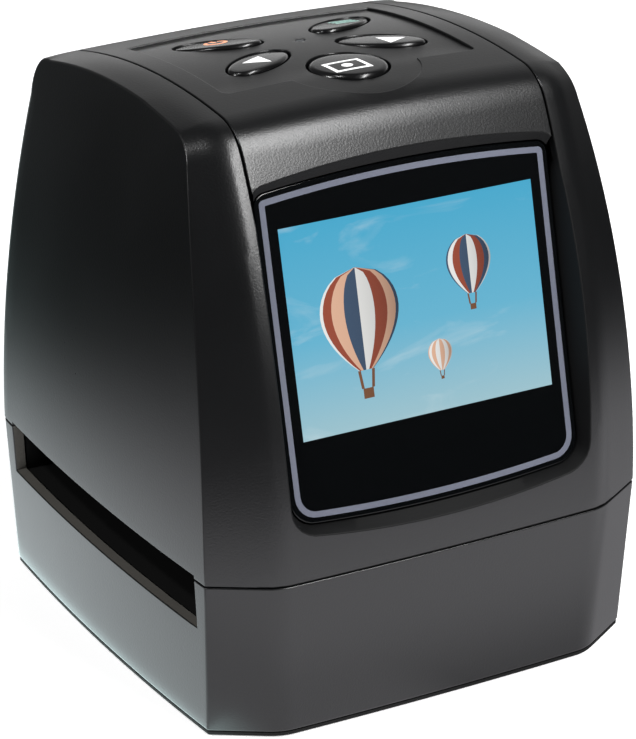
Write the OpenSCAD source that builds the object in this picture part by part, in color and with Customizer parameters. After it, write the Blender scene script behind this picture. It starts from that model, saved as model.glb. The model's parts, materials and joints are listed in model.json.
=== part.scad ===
// Desktop film negative scanner: a two-part wrap-around housing with a film channel straight
// through it, a tilted screen in front, five sprung buttons on top and a camera looking down
// on a lit film gate inside.
// Frame: millimetres, +Z up, front towards -Y, origin on the table under the body's centre.

/* [Body] */
// Greatest width, at the seam between base and upper shell
body_w = 90.1; // [89:0.1:91]
// Height of the seam between base and upper shell
seam_z = 29.8; // [29.6:0.1:30]
// Height of the crest of the top cover
top_z = 106; // [105.6:0.1:106.4]
// Front of the body at the seam, on the centre line
front_y = -44.3; // [-45:0.1:-44]
// Back of the body at the seam
rear_y = 44.3; // [44:0.1:45]
// Thickness of the housing walls
wall = 2.0; // [1.8:0.1:2.2]
// Width of the visible joints between housing pieces
seam_gap = 0.3; // [0.2:0.05:0.4]

/* [Outline] */
// Radius of the front's long curve, seen from the side
front_r = 155; // [150:1:160]
// Radius of the top's long curve, seen from the side
top_r = 168; // [164:1:174]
// Radius of the back's long curve, seen from the side
rear_r = 1200; // [1000:10:1500]
// Radius of the roll from front to top
front_roll = 10; // [9:0.5:11]
// Radius of the roll from top to back
rear_roll = 9.5; // [9:0.5:10]
// Where the crest of the top lies, front to back
top_crest_y = -5; // [-6:0.1:-4]
// Half width of the front between its two soft kinks
kink_x = 31.6; // [31:0.1:32]
// Angle of the facets beside the front
front_facet = 30; // [28:1:32]
// Amount that the front bows outwards between its kinks
front_bow = 0.6; // [0.4:0.1:0.8]
// Amount that the top is crowned from side to side
top_bow = 0.95; // [0.8:0.05:1.1]
// Amount that each side leans in, from the seam to the top
side_lean = 8.2; // [7.8:0.1:8.6]
// Amount that the base draws in at each side, from the seam to its lower edge
base_taper = 1.1; // [0.8:0.1:1.4]
// Amount that the base draws in at the front, from the seam to its lower edge
base_front_taper = 2.15; // [2:0.05:2.3]
// Amount that the base draws in at the back, from the seam to its lower edge
base_rear_taper = 0.7; // [0.5:0.1:0.8]

/* [Screen] */
// Height of the middle of the screen window
screen_z = 70.1; // [69.5:0.1:70.5]
// Front-to-back place of the middle of the screen window
screen_y = -34.2; // [-34.5:0.1:-34]
// Backward tilt of the screen
screen_tilt = 13.2; // [13:0.1:13.5]
// Width of the lit picture
picture_w = 48.2; // [46:0.1:49]
// Height of the lit picture
picture_h = 35.8; // [34:0.1:36.5]
// Half width of the screen window
window_hw = 27.9; // [27.7:0.1:28]
// Thickness of the screen window
window_t = 1.2; // [1:0.1:1.4]

/* [Buttons] */
// Half length of the four leaf-shaped buttons' holes
leaf_a = 8.1; // [7.8:0.1:8.2]
// Half width of the four leaf-shaped buttons' holes
leaf_b = 4.45; // [4.2:0.05:4.6]
// Half length of the scan button's hole
scan_a = 7.7; // [7.4:0.1:7.8]
// Half width of the scan button's hole
scan_b = 7.1; // [6.8:0.1:7.2]
// Gap round each button
button_gap = 0.35; // [0.3:0.05:0.45]
// Travel of each button
button_travel = 0.5; // [0.3:0.05:0.5]

/* [Film channel] */
// Front end of the film slot
slot_front = -33.6; // [-33.8:0.1:-33.4]
// Rear end of the film slot
slot_rear = 38.2; // [38:0.1:38.3]
// Bottom of the film slot
slot_low = 20.6; // [20.5:0.1:20.8]
// Top of the film slot
slot_high = 30.5; // [30.4:0.1:30.7]
// Film frame width, along the film
frame_w = 36; // [35.5:0.1:36.5]
// Film frame height, across the film
frame_h = 24; // [23.5:0.1:24.5]
// Travel of the film holder's detent plungers
detent_travel = 0.9; // [0.6:0.1:0.9]

/* [Hidden] */

// Small overlap that joins solids, and a length that cuts through anything
eps = 0.01;
through = 60;
shell_color = "#2b2c2e";
inner_color = "#18191a";
board_color = "#1f6b45";
metal_color = "#b9bcc0";

// ---------- outline of the housing ----------
side_bow = 0.00097;
side_bow_ease = 0.35;
side_crest_y = 16.4;
side_crest_shift = 35.3;
side_run = 70.6;
base_low_z = 1;
rear_corner_r = 3;
kink_blend = 2.1;
top_facet = 7;
below_seam_z = 19;
above_top_z = 109;

// How far a height in the base lies below the seam, as a fraction of the base's own height
function base_part(z) = (seam_z - z) / (seam_z - base_low_z);

// Half width of the housing at a given place on its side
function side_x(y, z) = z >= seam_z
    ? let (t = (z - seam_z) / side_run)
        body_w / 2 - side_lean * pow(t, 1.7)
            - side_bow * (1 - side_bow_ease * t) * pow(y - side_crest_y + side_crest_shift * pow(t, 2.4), 2)
    : body_w / 2 - base_taper * base_part(z) - side_bow * pow(y - side_crest_y, 2);

// Centre that lies r1 from c1 and r2 from c2, on the side given by s
function meet(c1, r1, c2, r2, s) =
    let (d = c2 - c1, l = norm(d), a = (r1 * r1 - r2 * r2 + l * l) / (2 * l), h = sqrt(r1 * r1 - a * a))
    c1 + d * a / l + s * h * [-d[1], d[0]] / l;

// Direction from one centre to another, 0 pointing forwards and 90 up
function heading(from, to) = atan2(to[1] - from[1], from[0] - to[0]);

// Points [y, z, heading] along one arc of the side view
function arc(c, r, a0, a1, n) =
    [for (i = [0 : n - 1]) let (a = a0 + (a1 - a0) * i / n) [c[0] - r * cos(a), c[1] + r * sin(a), a]];

front_c = [front_y + front_r, seam_z];
top_c = [top_crest_y, top_z - top_r];
rear_c = [rear_y - rear_r, seam_z];
front_roll_c = meet(front_c, front_r - front_roll, top_c, top_r - front_roll, -1);
rear_roll_c = meet(rear_c, rear_r - rear_roll, top_c, top_r - rear_roll, 1);

// Side view of the housing at the centre line, drawn in by inset
function profile(inset) =
    let (
        a1 = heading(front_c, front_roll_c),
        a2 = heading(top_c, front_roll_c),
        a3 = heading(top_c, rear_roll_c),
        a4 = heading(rear_c, rear_roll_c)
    )
    concat(
        [[front_y + inset, below_seam_z, 0]],
        arc(front_c, front_r - inset, 0, a1, 9),
        arc(front_roll_c, front_roll - inset, a1, a2, 6),
        arc(top_c, top_r - inset, a2, a3, 8),
        arc(rear_roll_c, rear_roll - inset, a3, a4, 6),
        arc(rear_c, rear_r - inset, a4, 180, 2),
        [[rear_y - inset, seam_z, 180], [rear_y - inset, below_seam_z, 180]]
    );

// Ramp that starts softly: 0 below -w and u above w
function ramp(u, w) = u <= -w ? 0 : u >= w ? u : pow(u + w, 2) / (4 * w);

// Facet angle and bow of the wrap-round surface where it faces the heading a: the back is flat
function facet_at(a) = a < 90
    ? top_facet + (front_facet - top_facet) * pow(max(cos(a), 0), 0.6)
    : top_facet * pow(sin(a), 4);
function bow_at(a) = let (end_bow = a < 90 ? front_bow : 0) end_bow + (top_bow - end_bow) * pow(sin(a), 6);

// How far the wrap-round surface falls away from its centre line at a distance x from it
function drop(x, a) =
    bow_at(a) * pow(x / kink_x, 2) + tan(facet_at(a)) * ramp(abs(x) - kink_x, kink_blend);

wrap_xs = [for (s = [-1, 1]) for (x = [50, 33.8, 32.3, 30.9, 29.4, 15]) s * x];
wrap_stations = concat([for (i = [0 : 5]) wrap_xs[i]], [0], [for (i = [11 : -1 : 6]) wrap_xs[i]]);

// Solid through rings of points, each ring in its own plane, first and last rings capped
module ring_loft(rings, flip = false) {
    n = len(rings[0]);
    m = len(rings);
    points = [for (r = rings) for (p = r) p];
    walls = [for (j = [0 : m - 2]) for (i = [0 : n - 1])
        let (a = j * n + i, b = j * n + (i + 1) % n)
        each [[a, b, a + n], [b, b + n, a + n]]];
    caps = [[for (i = [n - 1 : -1 : 0]) i], [for (i = [0 : n - 1]) (m - 1) * n + i]];
    faces = concat(walls, caps);
    polyhedron(points, flip ? [for (f = faces) [for (i = [len(f) - 1 : -1 : 0]) f[i]]] : faces);
}

// Front, top and back as one wrap-round solid
module wrap_solid(inset) {
    p = profile(inset);
    rings = [for (x = wrap_stations)
        [for (q = p) let (d = drop(x, q[2])) [x, q[0] + cos(q[2]) * d, q[1] - sin(q[2]) * d]]];
    ring_loft(rings);
}

// The sides' own back stands this far behind the wrap-round back, so that only one of them shows
rear_slack = 0.05;
side_ys = [-60, -45, -34, -24, -14, -4, 6, 16, 26, 34];

function rear_at(z) = rear_y - pow(max(z - seam_z, 0), 2) / (2 * rear_r);

// Half of a plan section from front to back: the side with its rounded rear corner
function side_half(z, inset) =
    let (
        yr = rear_at(z) - inset + rear_slack,
        r = rear_corner_r - min(inset, rear_corner_r - 0.5),
        xr = side_x(yr - r, z) - inset
    )
    concat(
        [for (y = side_ys) [side_x(y, z) - inset, y]],
        [for (i = [0 : 3]) let (a = 30 * i) [xr - r + r * cos(a), yr - r + r * sin(a)]]
    );

function mirrored(half) = concat(half, [for (i = [len(half) - 1 : -1 : 0]) [-half[i][0], half[i][1]]]);
function at_height(ring, z) = [for (p = ring) [p[0], p[1], z]];

side_zs = concat([below_seam_z], [for (z = [seam_z : 7.5 : 85]) z], [90, 95, 100, above_top_z]);

// Both sides as one solid, open ended towards the front
module side_solid(inset) {
    ring_loft([for (z = side_zs) at_height(mirrored(side_half(z, inset)), z)], true);
}

// The upper housing's outer form, or its cavity when drawn in
module upper_form(inset) {
    intersection() {
        wrap_solid(inset);
        side_solid(inset);
    }
}

// ---------- base ----------
base_kink_taper = 1.2;
side_last_y = 36;

function base_front(z) = front_y + base_front_taper * base_part(z);
function base_kink(z) = kink_x - base_kink_taper * base_part(z);
function base_front_y(x, z, inset) =
    base_front(z) + inset + front_bow * pow(x / kink_x, 2)
        + tan(front_facet) * ramp(abs(x) - base_kink(z), kink_blend);

// Where the front meets the side, found by stepping n times from a first guess x
function corner_x(z, inset, x, n) = n == 0 ? x
    : corner_x(z, inset, side_x(base_front_y(x, z, inset), z) - inset, n - 1);

// Half of the base's plan section, from the front's middle to the back's middle
function base_half(z, inset) =
    let (
        k = base_kink(z),
        b = kink_blend,
        xc = corner_x(z, inset, body_w / 2, 6),
        yc = base_front_y(xc, z, inset),
        yr = rear_y - base_rear_taper * base_part(z) - inset,
        r = rear_corner_r - min(inset, rear_corner_r - 0.5),
        xr = side_x(yr - r, z) - inset
    )
    concat(
        [for (x = [6, 14, 22, k - b, k - b / 3, k + b / 3, k + b]) [x, base_front_y(x, z, inset)]],
        [[xc, yc]],
        [for (t = [0.14 : 0.143 : 1]) let (y = yc + t * (side_last_y - yc)) [side_x(y, z) - inset, y]],
        [for (i = [0 : 3]) let (a = 30 * i) [xr - r + r * cos(a), yr - r + r * sin(a)]]
    );

// Solid between plan sections: each level gives the section's height, its inset and where it is put
module plan_loft(levels) {
    ring_loft([for (l = levels) at_height(mirrored(base_half(l[0], l[1])), l[2])], true);
}

base_high_z = seam_z - seam_gap / 2;
upper_low_z = seam_z + seam_gap / 2;
plate_low_z = 0.25;
plate_inset = 0.4;
plate_top_z = 2.8;
lip_wall = wall + 0.2;
edge_fillet = [[base_low_z, 0.45], [base_low_z + 0.1, 0.22], [base_low_z + 0.3, 0.06], [base_low_z + 0.6, 0]];

post_x = 24;
front_post_y = -37.9;
rear_post_y = 40.35;
post_r = 2.1;
posts = [[-post_x, front_post_y], [post_x, front_post_y], [-post_x, rear_post_y], [post_x, rear_post_y]];
post_gap = 0.3;
screw_r = 1.1;
screw_clear = 0.05;
screw_top_z = 37;
screw_end_room = 0.5;
post_top_z = 38.4;
head_r = 1.9;
head_low_z = 0.7;
head_high_z = 2.0;
head_clear = 0.2;

module film_slot_cut() {
    translate([-through, slot_front, slot_low])
        cube([2 * through, slot_rear - slot_front, slot_high - slot_low]);
}

// Room for the posts and their screws in the pieces that they pass
module post_cuts(r, top = through) {
    for (p = posts)
        translate([p[0], p[1], -1]) cylinder(r = r, h = top + 1, $fn = 32);
}

module base_shell() {
    color(shell_color) difference() {
        union() {
            difference() {
                plan_loft(concat(
                    [for (e = edge_fillet) [e[0], e[1], e[0]]],
                    [[12, 0, 12], [seam_z, 0, base_high_z]]
                ));
                plan_loft([[0, lip_wall, 0], [seam_z, lip_wall, seam_z + 1]]);
            }
            for (p = posts)
                translate([p[0], p[1], plate_top_z])
                    cylinder(r = post_r, h = base_high_z - plate_top_z, $fn = 32);
        }
        film_slot_cut();
        post_cuts(screw_r + screw_clear);
        post_cuts(head_r + head_clear, head_high_z + 0.1);
    }
}

foot_x = 31;
foot_front_y = -27;
foot_rear_y = 31;
foot_r = 4.5;
foot_pocket_z = 0.9;
feet = [[-foot_x, foot_front_y], [foot_x, foot_front_y], [-foot_x, foot_rear_y], [foot_x, foot_rear_y]];
foot_gap = 0.1;
vent_w = 1.8;
vent_pitch = 4;
vent_x = 14;
vent_front_y = -8;
vent_length = 22;

module bottom_plate() {
    color(inner_color) difference() {
        union() {
            plan_loft([
                [base_low_z, plate_inset + 0.3, plate_low_z],
                [base_low_z, plate_inset, plate_low_z + 0.3],
                [base_low_z, plate_inset, base_low_z]
            ]);
            plan_loft([
                [base_low_z, lip_wall + 0.3, base_low_z - eps],
                [base_low_z, lip_wall + 0.3, plate_top_z]
            ]);
        }
        for (f = feet)
            translate([f[0], f[1], -1]) cylinder(r = foot_r + foot_gap, h = 1 + foot_pocket_z, $fn = 40);
        post_cuts(screw_r + 2 * screw_clear);
        post_cuts(head_r + head_clear, head_high_z);
        for (x = [-vent_x : vent_pitch : vent_x])
            translate([x - vent_w / 2, vent_front_y, -1]) cube([vent_w, vent_length, through]);
    }
}

module rubber_feet() {
    color("#101010") for (f = feet)
        translate([f[0], f[1], 0]) cylinder(r = foot_r, h = foot_pocket_z, $fn = 40);
}

module screw(head, head_h, shank, length) {
    difference() {
        union() {
            cylinder(r = head, h = head_h, $fn = 32);
            cylinder(r = shank, h = length, $fn = 32);
        }
        translate([0, 0, -eps]) for (a = [0, 90])
            rotate([0, 0, a]) translate([-head * 0.6, -head * 0.12, 0])
                cube([head * 1.2, head * 0.24, head_h * 0.6]);
    }
}

module base_screws() {
    color(metal_color) for (p = posts)
        translate([p[0], p[1], head_low_z])
            screw(head_r, head_high_z - head_low_z, screw_r, screw_top_z - head_low_z);
}

// ---------- screen window and its recess, in the window's own plane ----------
module on_screen(h = 0) {
    translate([0, screen_y, screen_z]) rotate([90 - screen_tilt, 0, 0]) translate([0, 0, h]) children();
}

function circle_drop(x, r) = r - sqrt(r * r - x * x);

// Outline with an arched top and bottom: half width, top and bottom at the middle, their radii, corners
function rim(hw, top, top_arc, low, low_arc, r_top, r_low) =
    let (
        yt = top - circle_drop(hw - r_top, top_arc),
        yb = low + circle_drop(hw - r_low, low_arc),
        arch = [for (i = [-3 : 3]) let (x = -i / 3 * (hw - r_top)) [x, top - circle_drop(x, top_arc)]],
        sag = [for (i = [-3 : 3]) let (x = i / 3 * (hw - r_low)) [x, low + circle_drop(x, low_arc)]]
    )
    concat(
        [for (a = [0, 30, 60]) [hw - r_top + r_top * cos(a), yt - r_top + r_top * sin(a)]],
        arch,
        [for (a = [120, 150, 180]) [-hw + r_top + r_top * cos(a), yt - r_top + r_top * sin(a)]],
        [for (a = [180, 210, 240]) [-hw + r_low + r_low * cos(a), yb + r_low + r_low * sin(a)]],
        sag,
        [for (a = [300, 330, 360]) [hw - r_low + r_low * cos(a), yb + r_low + r_low * sin(a)]]
    );

window_top = 25.5;
window_low = -33;
window_top_arc = 246;
window_low_arc = 263;

function window_rim(grow) = rim(
    window_hw + grow, window_top + grow, window_top_arc, window_low - grow, window_low_arc,
    window_top_r + grow, window_low_r + grow
);

window_gap = 0.25;
window_top_r = 2.2;
window_low_r = 4.6;
recess_depth = 9;

// The recess flares out from the window: a little at its sides, more at its arched top and bottom
module recess_cut() {
    inner = window_rim(window_gap);
    outer = rim(
        window_hw + window_gap + 0.33 * recess_depth, 26 + 1.75 * recess_depth, 62,
        -33.2 - 1.0 * recess_depth, 78, 3.6, 7
    );
    on_screen() ring_loft([
        [for (p = inner) [p[0], p[1], -0.2]],
        [for (p = inner) [p[0], p[1], 0]],
        [for (p = outer) [p[0], p[1], recess_depth]]
    ], true);
}

module window_pocket() {
    on_screen(-window_t - 0.1) linear_extrude(window_t + 0.2) polygon(window_rim(window_gap));
}

lcd_w = 51.4;
lcd_h = 42;
lcd_v = -1.2;
lcd_t = 2.4;
lcd_front = -1.4;
lcd_gap = 0.3;
seat_back = -3.0;
seat_low_v = -36.4;
seat_hw = 32;
cover_hw = 28.7;
cover_low_v = 23.9;
cover_rear_z = 91;

// Region of the top cover: between the two side joints and above the window
module cover_region(grow) {
    hw = cover_hw + grow;
    top = above_top_z + 10;
    up = [sin(screen_tilt), cos(screen_tilt)];
    out = [-cos(screen_tilt), sin(screen_tilt)];
    low = [screen_y, screen_z] + up * (cover_low_v - grow);
    rotate([90, 0, 90]) translate([0, 0, -hw]) linear_extrude(2 * hw)
        polygon([
            low + out * 20, [low[0] + out[0] * 20, top], [70, top], [70, cover_rear_z - grow],
            [25, cover_rear_z - grow], low - out * 14
        ]);
}

module seat_block(v_low, v_high, hw) {
    on_screen(seat_back) translate([-hw, v_low, 0]) cube([2 * hw, v_high - v_low, 14]);
}

// ---------- ports in the back ----------
board_z = 39;
board_t = 1.6;
port_z = board_z + board_t;
port_margin = 0.35;
card_x = -13;
card_mouth = [24.8, 2.3];
card_mouth_z = port_z + 0.7;
usb_x = 14;
usb_size = [7.7, 9.3, 3.9];
jack_x = 27;
jack_z = port_z + 3.2;
jack_barrel_r = 2.9;

module port_cuts() {
    translate([card_x - card_mouth[0] / 2 - port_margin, 30, card_mouth_z - port_margin])
        cube([card_mouth[0] + 2 * port_margin, 30, card_mouth[1] + 2 * port_margin]);
    translate([usb_x - usb_size[0] / 2 - port_margin, 30, port_z - port_margin])
        cube([usb_size[0] + 2 * port_margin, 30, usb_size[2] + 2 * port_margin]);
    translate([jack_x, 30, jack_z]) rotate([-90, 0, 0])
        cylinder(r = jack_barrel_r + port_margin, h = 30, $fn = 36);
}

module upper_shell() {
    color(shell_color) difference() {
        union() {
            difference() {
                intersection() {
                    upper_form(0);
                    translate([-through, -through, upper_low_z]) cube([2 * through, 2 * through, 90]);
                }
                upper_form(wall);
            }
            intersection() {
                upper_form(0.1);
                seat_block(seat_low_v, cover_low_v - 0.2, seat_hw);
            }
            for (p = posts) intersection() {
                translate([p[0], p[1], upper_low_z])
                    cylinder(r = post_r, h = post_top_z - upper_low_z, $fn = 32);
                translate([-through, -through, 0]) cube([2 * through, through + rear_y - 1, 100]);
            }
        }
        cover_region(seam_gap / 2);
        recess_cut();
        window_pocket();
        on_screen(-8) translate([-lcd_w / 2 - lcd_gap, lcd_v - lcd_h / 2 - lcd_gap, 0])
            cube([lcd_w + 2 * lcd_gap, lcd_h + 2 * lcd_gap, 20]);
        film_slot_cut();
        port_cuts();
        post_cuts(screw_r + screw_clear, screw_top_z + screw_end_room);
    }
}

// ---------- top cover and buttons ----------
deck_depth = 0.5;
deck_hw = 24.1;
deck_front_y = -11.8;
deck_rear_y = 26.5;
deck_rear_sag = 0.8;
bay_hw = 12.2;
bay_y = -9.4;
bay_r = 12.8;
cluster_x = 0.5;
leaf_rear = [12.05, 16];
leaf_front = [11.95, 0.7];
scan_at = [cluster_x, -9.3];
fan_y = 8.3;

// A leaf button's centre on the left (s = -1) or right (s = 1), and the angle that points it at the middle
function leaf_place(c, s) = [cluster_x + s * c[0], c[1]];
function leaf_angle(c) = atan2(c[1] - fan_y, c[0]);
function ellipse(a, b, n = 44) = [for (i = [0 : n - 1]) [a * cos(360 * i / n), b * sin(360 * i / n)]];

// Height of the top at the place c, on its surface or drawn in by inset
function top_at(c, inset = 0) =
    top_c[1] + sqrt(pow(top_r - inset, 2) - pow(c[1] - top_crest_y, 2)) - top_bow * pow(c[0] / kink_x, 2);

leaf_rise = 0.3;
leaf_tilt = 0.08;
scan_rise = 0.65;
scan_tilt = 0.09;

// Each button: centre, long half axis, short half axis, turn, rise over the deck, tilt against it
BUTTONS = [
    [leaf_place(leaf_rear, -1), leaf_a, leaf_b, -leaf_angle(leaf_rear), leaf_rise, leaf_tilt],
    [leaf_place(leaf_rear, 1), leaf_a, leaf_b, leaf_angle(leaf_rear), leaf_rise, leaf_tilt],
    [leaf_place(leaf_front, -1), leaf_a, leaf_b, -leaf_angle(leaf_front), leaf_rise, leaf_tilt],
    [leaf_place(leaf_front, 1), leaf_a, leaf_b, leaf_angle(leaf_front), leaf_rise, leaf_tilt],
    [scan_at, scan_a, scan_b, 90, scan_rise, scan_tilt]
];

module leaf(b, grow) {
    translate([b[0][0], b[0][1], 0]) rotate([0, 0, b[3]]) polygon(ellipse(b[1] + grow, b[2] + grow));
}

// Shallow field that holds the buttons, with a round bay in front of the scan button
module deck_outline() {
    bay_start = asin((bay_y - deck_front_y) / bay_r);
    polygon(concat(
        [for (i = [-4 : 4]) let (t = i / 4) [-t * deck_hw, deck_rear_y + deck_rear_sag * (1 - t * t)]],
        [[-deck_hw, deck_front_y]],
        [for (i = [0 : 12]) let (a = 180 + bay_start + i / 12 * (180 - 2 * bay_start))
            [cluster_x + bay_hw * cos(a), bay_y + bay_r * sin(a)]],
        [[deck_hw, deck_front_y]]
    ));
}

module top_wall_form(inset) {
    intersection() {
        wrap_solid(inset);
        translate([-40, -60, 80]) cube([80, 120, 40]);
    }
}

led_at = [0.9, 8.8];
pipe_r = 0.9;
boss_at = [[-21, -8], [21, -8], [-22.2, 23.4], [22.2, 23.4]];
boss_r = 2.2;
boss_bore_r = 0.95;
board2_z = 96.6;
board2_t = 1.6;
board2_top = board2_z + board2_t;

module top_cover() {
    color(shell_color) difference() {
        union() {
            intersection() {
                difference() {
                    upper_form(0);
                    upper_form(wall);
                }
                cover_region(-seam_gap / 2);
            }
            intersection() {
                upper_form(0.1);
                seat_block(cover_low_v + 0.2, 29.5, cover_hw - 0.2);
                cover_region(-seam_gap / 2);
            }
            for (b = boss_at)
                translate([b[0], b[1], board2_top])
                    cylinder(r = boss_r, h = top_at(b) - 1.2 - board2_top, $fn = 28);
        }
        recess_cut();
        window_pocket();
        intersection() {
            difference() {
                translate([-40, -40, 90]) cube([80, 80, 30]);
                top_wall_form(deck_depth);
            }
            translate([0, 0, 80]) linear_extrude(30) deck_outline();
        }
        for (b = BUTTONS)
            translate([0, 0, 90]) linear_extrude(20) leaf(b, 0);
        translate([led_at[0], led_at[1], 90]) cylinder(r = pipe_r + 0.05, h = 20, $fn = 24);
        for (b = boss_at)
            translate([b[0], b[1], board2_top - 1]) cylinder(r = boss_bore_r, h = 4, $fn = 24);
    }
}

switch_w = 6;
switch_h = 1.6;
plunger_r = 1.5;
plunger_h = 0.5;
plunger_sunk = 0.4;
switch_top = board2_top + switch_h;
stem_r = 1.8;
stem_z = switch_top + plunger_h;
dome_r = 110;
flange_t = 0.6;
flange_rim = 0.7;
flange_gap = 0.15;

// How far a button's flange reaches to the back and front of its middle
function flange_reach(b) =
    norm([(b[1] + flange_rim) * sin(b[3]), (b[2] + flange_rim) * cos(b[3])]);

// Height of a button's flange: under the lowest place that the cover's inner face has over it
function flange_top(b) =
    min([for (s = [-1, 1]) top_at([abs(b[0][0]) + b[1], b[0][1] + s * flange_reach(b)], wall)]) - flange_gap;

// Slopes of a button's face to the right and to the back
function face_lean(b) =
    [-2 * top_bow * b[0][0] / pow(kink_x, 2), -(b[0][1] - top_crest_y) / top_r - b[5]];

module button(b) {
    face_z = top_at(b[0]) - deck_depth + b[4];
    lean = face_lean(b);
    flange = flange_top(b);
    color("#0d0e10") union() {
        intersection() {
            translate([0, 0, flange - flange_t]) linear_extrude(10) leaf(b, -button_gap);
            translate([b[0][0], b[0][1], face_z] + dome_r * [lean[0], lean[1], -sqrt(1 - lean * lean)])
                sphere(r = dome_r, $fn = 180);
        }
        translate([0, 0, flange - flange_t]) linear_extrude(flange_t) leaf(b, flange_rim);
        translate([b[0][0], b[0][1], stem_z])
            cylinder(r = stem_r, h = flange - flange_t / 2 - stem_z, $fn = 28);
    }
}

module plunger(b) {
    color("#e8e4da") translate([b[0][0], b[0][1], switch_top - plunger_sunk])
        cylinder(r = plunger_r, h = plunger_h + plunger_sunk, $fn = 28);
}

module button_power() { button(BUTTONS[0]); }
module button_menu() { button(BUTTONS[1]); }
module button_up() { button(BUTTONS[2]); }
module button_down() { button(BUTTONS[3]); }
module button_scan() { button(BUTTONS[4]); }
module plunger_power() { plunger(BUTTONS[0]); }
module plunger_menu() { plunger(BUTTONS[1]); }
module plunger_up() { plunger(BUTTONS[2]); }
module plunger_down() { plunger(BUTTONS[3]); }
module plunger_scan() { plunger(BUTTONS[4]); }

module tact_switches() {
    color("#303236") for (b = BUTTONS) difference() {
        translate([b[0][0] - switch_w / 2, b[0][1] - switch_w / 2, board2_top])
            cube([switch_w, switch_w, switch_h]);
        translate([b[0][0], b[0][1], switch_top - plunger_sunk - button_travel - 0.1])
            cylinder(r = plunger_r + 0.06, h = 3, $fn = 28);
    }
}

// Small cross-head screws: head radius, head height and shank radius
small_head_r = 1.9;
small_head_h = 1;
small_shank_r = 0.9;
small_hole_r = 1.1;

module small_screw(length) { screw(small_head_r, small_head_h, small_shank_r, length); }

board2_hw = 24.5;
board2_front_y = -19;
board2_rear_y = 25.5;

module button_board() {
    color(board_color) difference() {
        translate([-board2_hw, board2_front_y, board2_z])
            cube([2 * board2_hw, board2_rear_y - board2_front_y, board2_t]);
        for (b = boss_at)
            translate([b[0], b[1], board2_z - 1]) cylinder(r = small_hole_r, h = 4, $fn = 24);
    }
}

module button_board_screws() {
    color(metal_color) for (b = boss_at)
        translate([b[0], b[1], board2_z - small_head_h]) small_screw(4.8);
}

module indicator_led() {
    size = [1.6, 0.8, 0.7];
    color("#f2f0e4") translate([led_at[0] - size[0] / 2, led_at[1] - size[1] / 2, board2_top]) cube(size);
}

pipe_low_z = board2_top + 0.9;
pipe_foot_r = 1.6;
pipe_foot_h = 0.8;

module light_pipe() {
    top = top_at(led_at) - deck_depth - 0.15;
    color("#dfe6ea") translate([led_at[0], led_at[1], pipe_low_z]) union() {
        cylinder(r = pipe_r, h = top - pipe_low_z, $fn = 24);
        cylinder(r = pipe_foot_r, h = pipe_foot_h, $fn = 24);
    }
}

// ---------- screen ----------
module screen_window() {
    color("#050608") on_screen(-window_t) union() {
        linear_extrude(window_t - 0.25) polygon(window_rim(0));
        linear_extrude(window_t) polygon(window_rim(-0.3));
    }
}

module lcd_panel() {
    color("#3fa4cf") on_screen(lcd_front - lcd_t) translate([-lcd_w / 2, lcd_v - lcd_h / 2, 0])
        cube([lcd_w, lcd_h, lcd_t]);
}

bracket_h = lcd_front - lcd_t - 1.0;
bracket_t = 0.9;
bracket_margin = 0.4;
bracket_window = [30, 28];
bracket_window_v = -2;
tab_at = [[-28, -14], [28, -14], [-28, 12], [28, 12]];
tab_w = 5.2;

module lcd_bracket() {
    w = lcd_w + 2 * bracket_margin;
    color(metal_color) on_screen(bracket_h) difference() {
        union() {
            translate([-w / 2, lcd_v - lcd_h / 2, 0]) cube([w, lcd_h, bracket_t]);
            for (t = tab_at)
                translate([t[0] - tab_w / 2, t[1] - tab_w / 2, 0]) cube([tab_w, tab_w, bracket_t]);
        }
        for (t = tab_at)
            translate([t[0], t[1], -1]) cylinder(r = small_hole_r, h = 4, $fn = 24);
        translate([-bracket_window[0] / 2, bracket_window_v - bracket_window[1] / 2, -1])
            cube([bracket_window[0], bracket_window[1], 4]);
    }
}

module display_screws() {
    color(metal_color) on_screen(bracket_h - small_head_h) for (t = tab_at)
        translate([t[0], t[1], 0]) small_screw(1.95);
}

display_board_h = bracket_h - 4.2;
display_board_t = 1.2;
standoff_w = 1.5;
driver_chip = [10, 10, 1.1];
flat_socket = [14, 4, 1.6];
flat_socket_at = [5, -14];

module display_board() {
    color(board_color) on_screen(display_board_h) union() {
        translate([-22, -20, 0]) cube([44, 34, display_board_t]);
        for (x = [-21, 19.5]) for (y = [-19, 12])
            translate([x, y, display_board_t - eps]) cube([standoff_w, standoff_w, 3 + eps]);
        translate([-9, -8, -driver_chip[2]]) cube(driver_chip + [0, 0, eps]);
        translate([flat_socket_at[0], flat_socket_at[1], -flat_socket[2]]) cube(flat_socket + [0, 0, eps]);
    }
}

// ---------- ribbons: flat strips bent along a line of points seen from the side ----------
ribbon_w = 8;
ribbon_t = 0.25;
display_ribbon_x = 12;
button_ribbon_x = 14;
sensor_ribbon_x = 8.5;

module ribbon(x, points) {
    n = len(points);
    path = concat(points, [for (i = [n - 1 : -1 : 0]) points[i] + [ribbon_t, 0]]);
    color("#c98a2b") rotate([90, 0, 90]) translate([0, 0, x - ribbon_w / 2])
        linear_extrude(ribbon_w) polygon(path);
}

module display_ribbon() {
    ribbon(display_ribbon_x, [
        [-28.0, 53.9], [-27.6, 50.5], [-26.6, 46.8], [-25.0, 43.8], [-23.2, 41.9], [-21.2, 40.7]
    ]);
}

module button_ribbon() {
    ribbon(button_ribbon_x, [[24.8, 96.55], [25.8, 90], [26.3, 71], [25.7, 53], [24.6, 45], [22.8, 40.7]]);
}

module sensor_ribbon() {
    ribbon(sensor_ribbon_x, [
        [-10.6, 71.2], [-11.8, 70], [-13.2, 64], [-14.2, 56], [-14.5, 47], [-15.4, 43.2], [-17.2, 40.7]
    ]);
}

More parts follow.
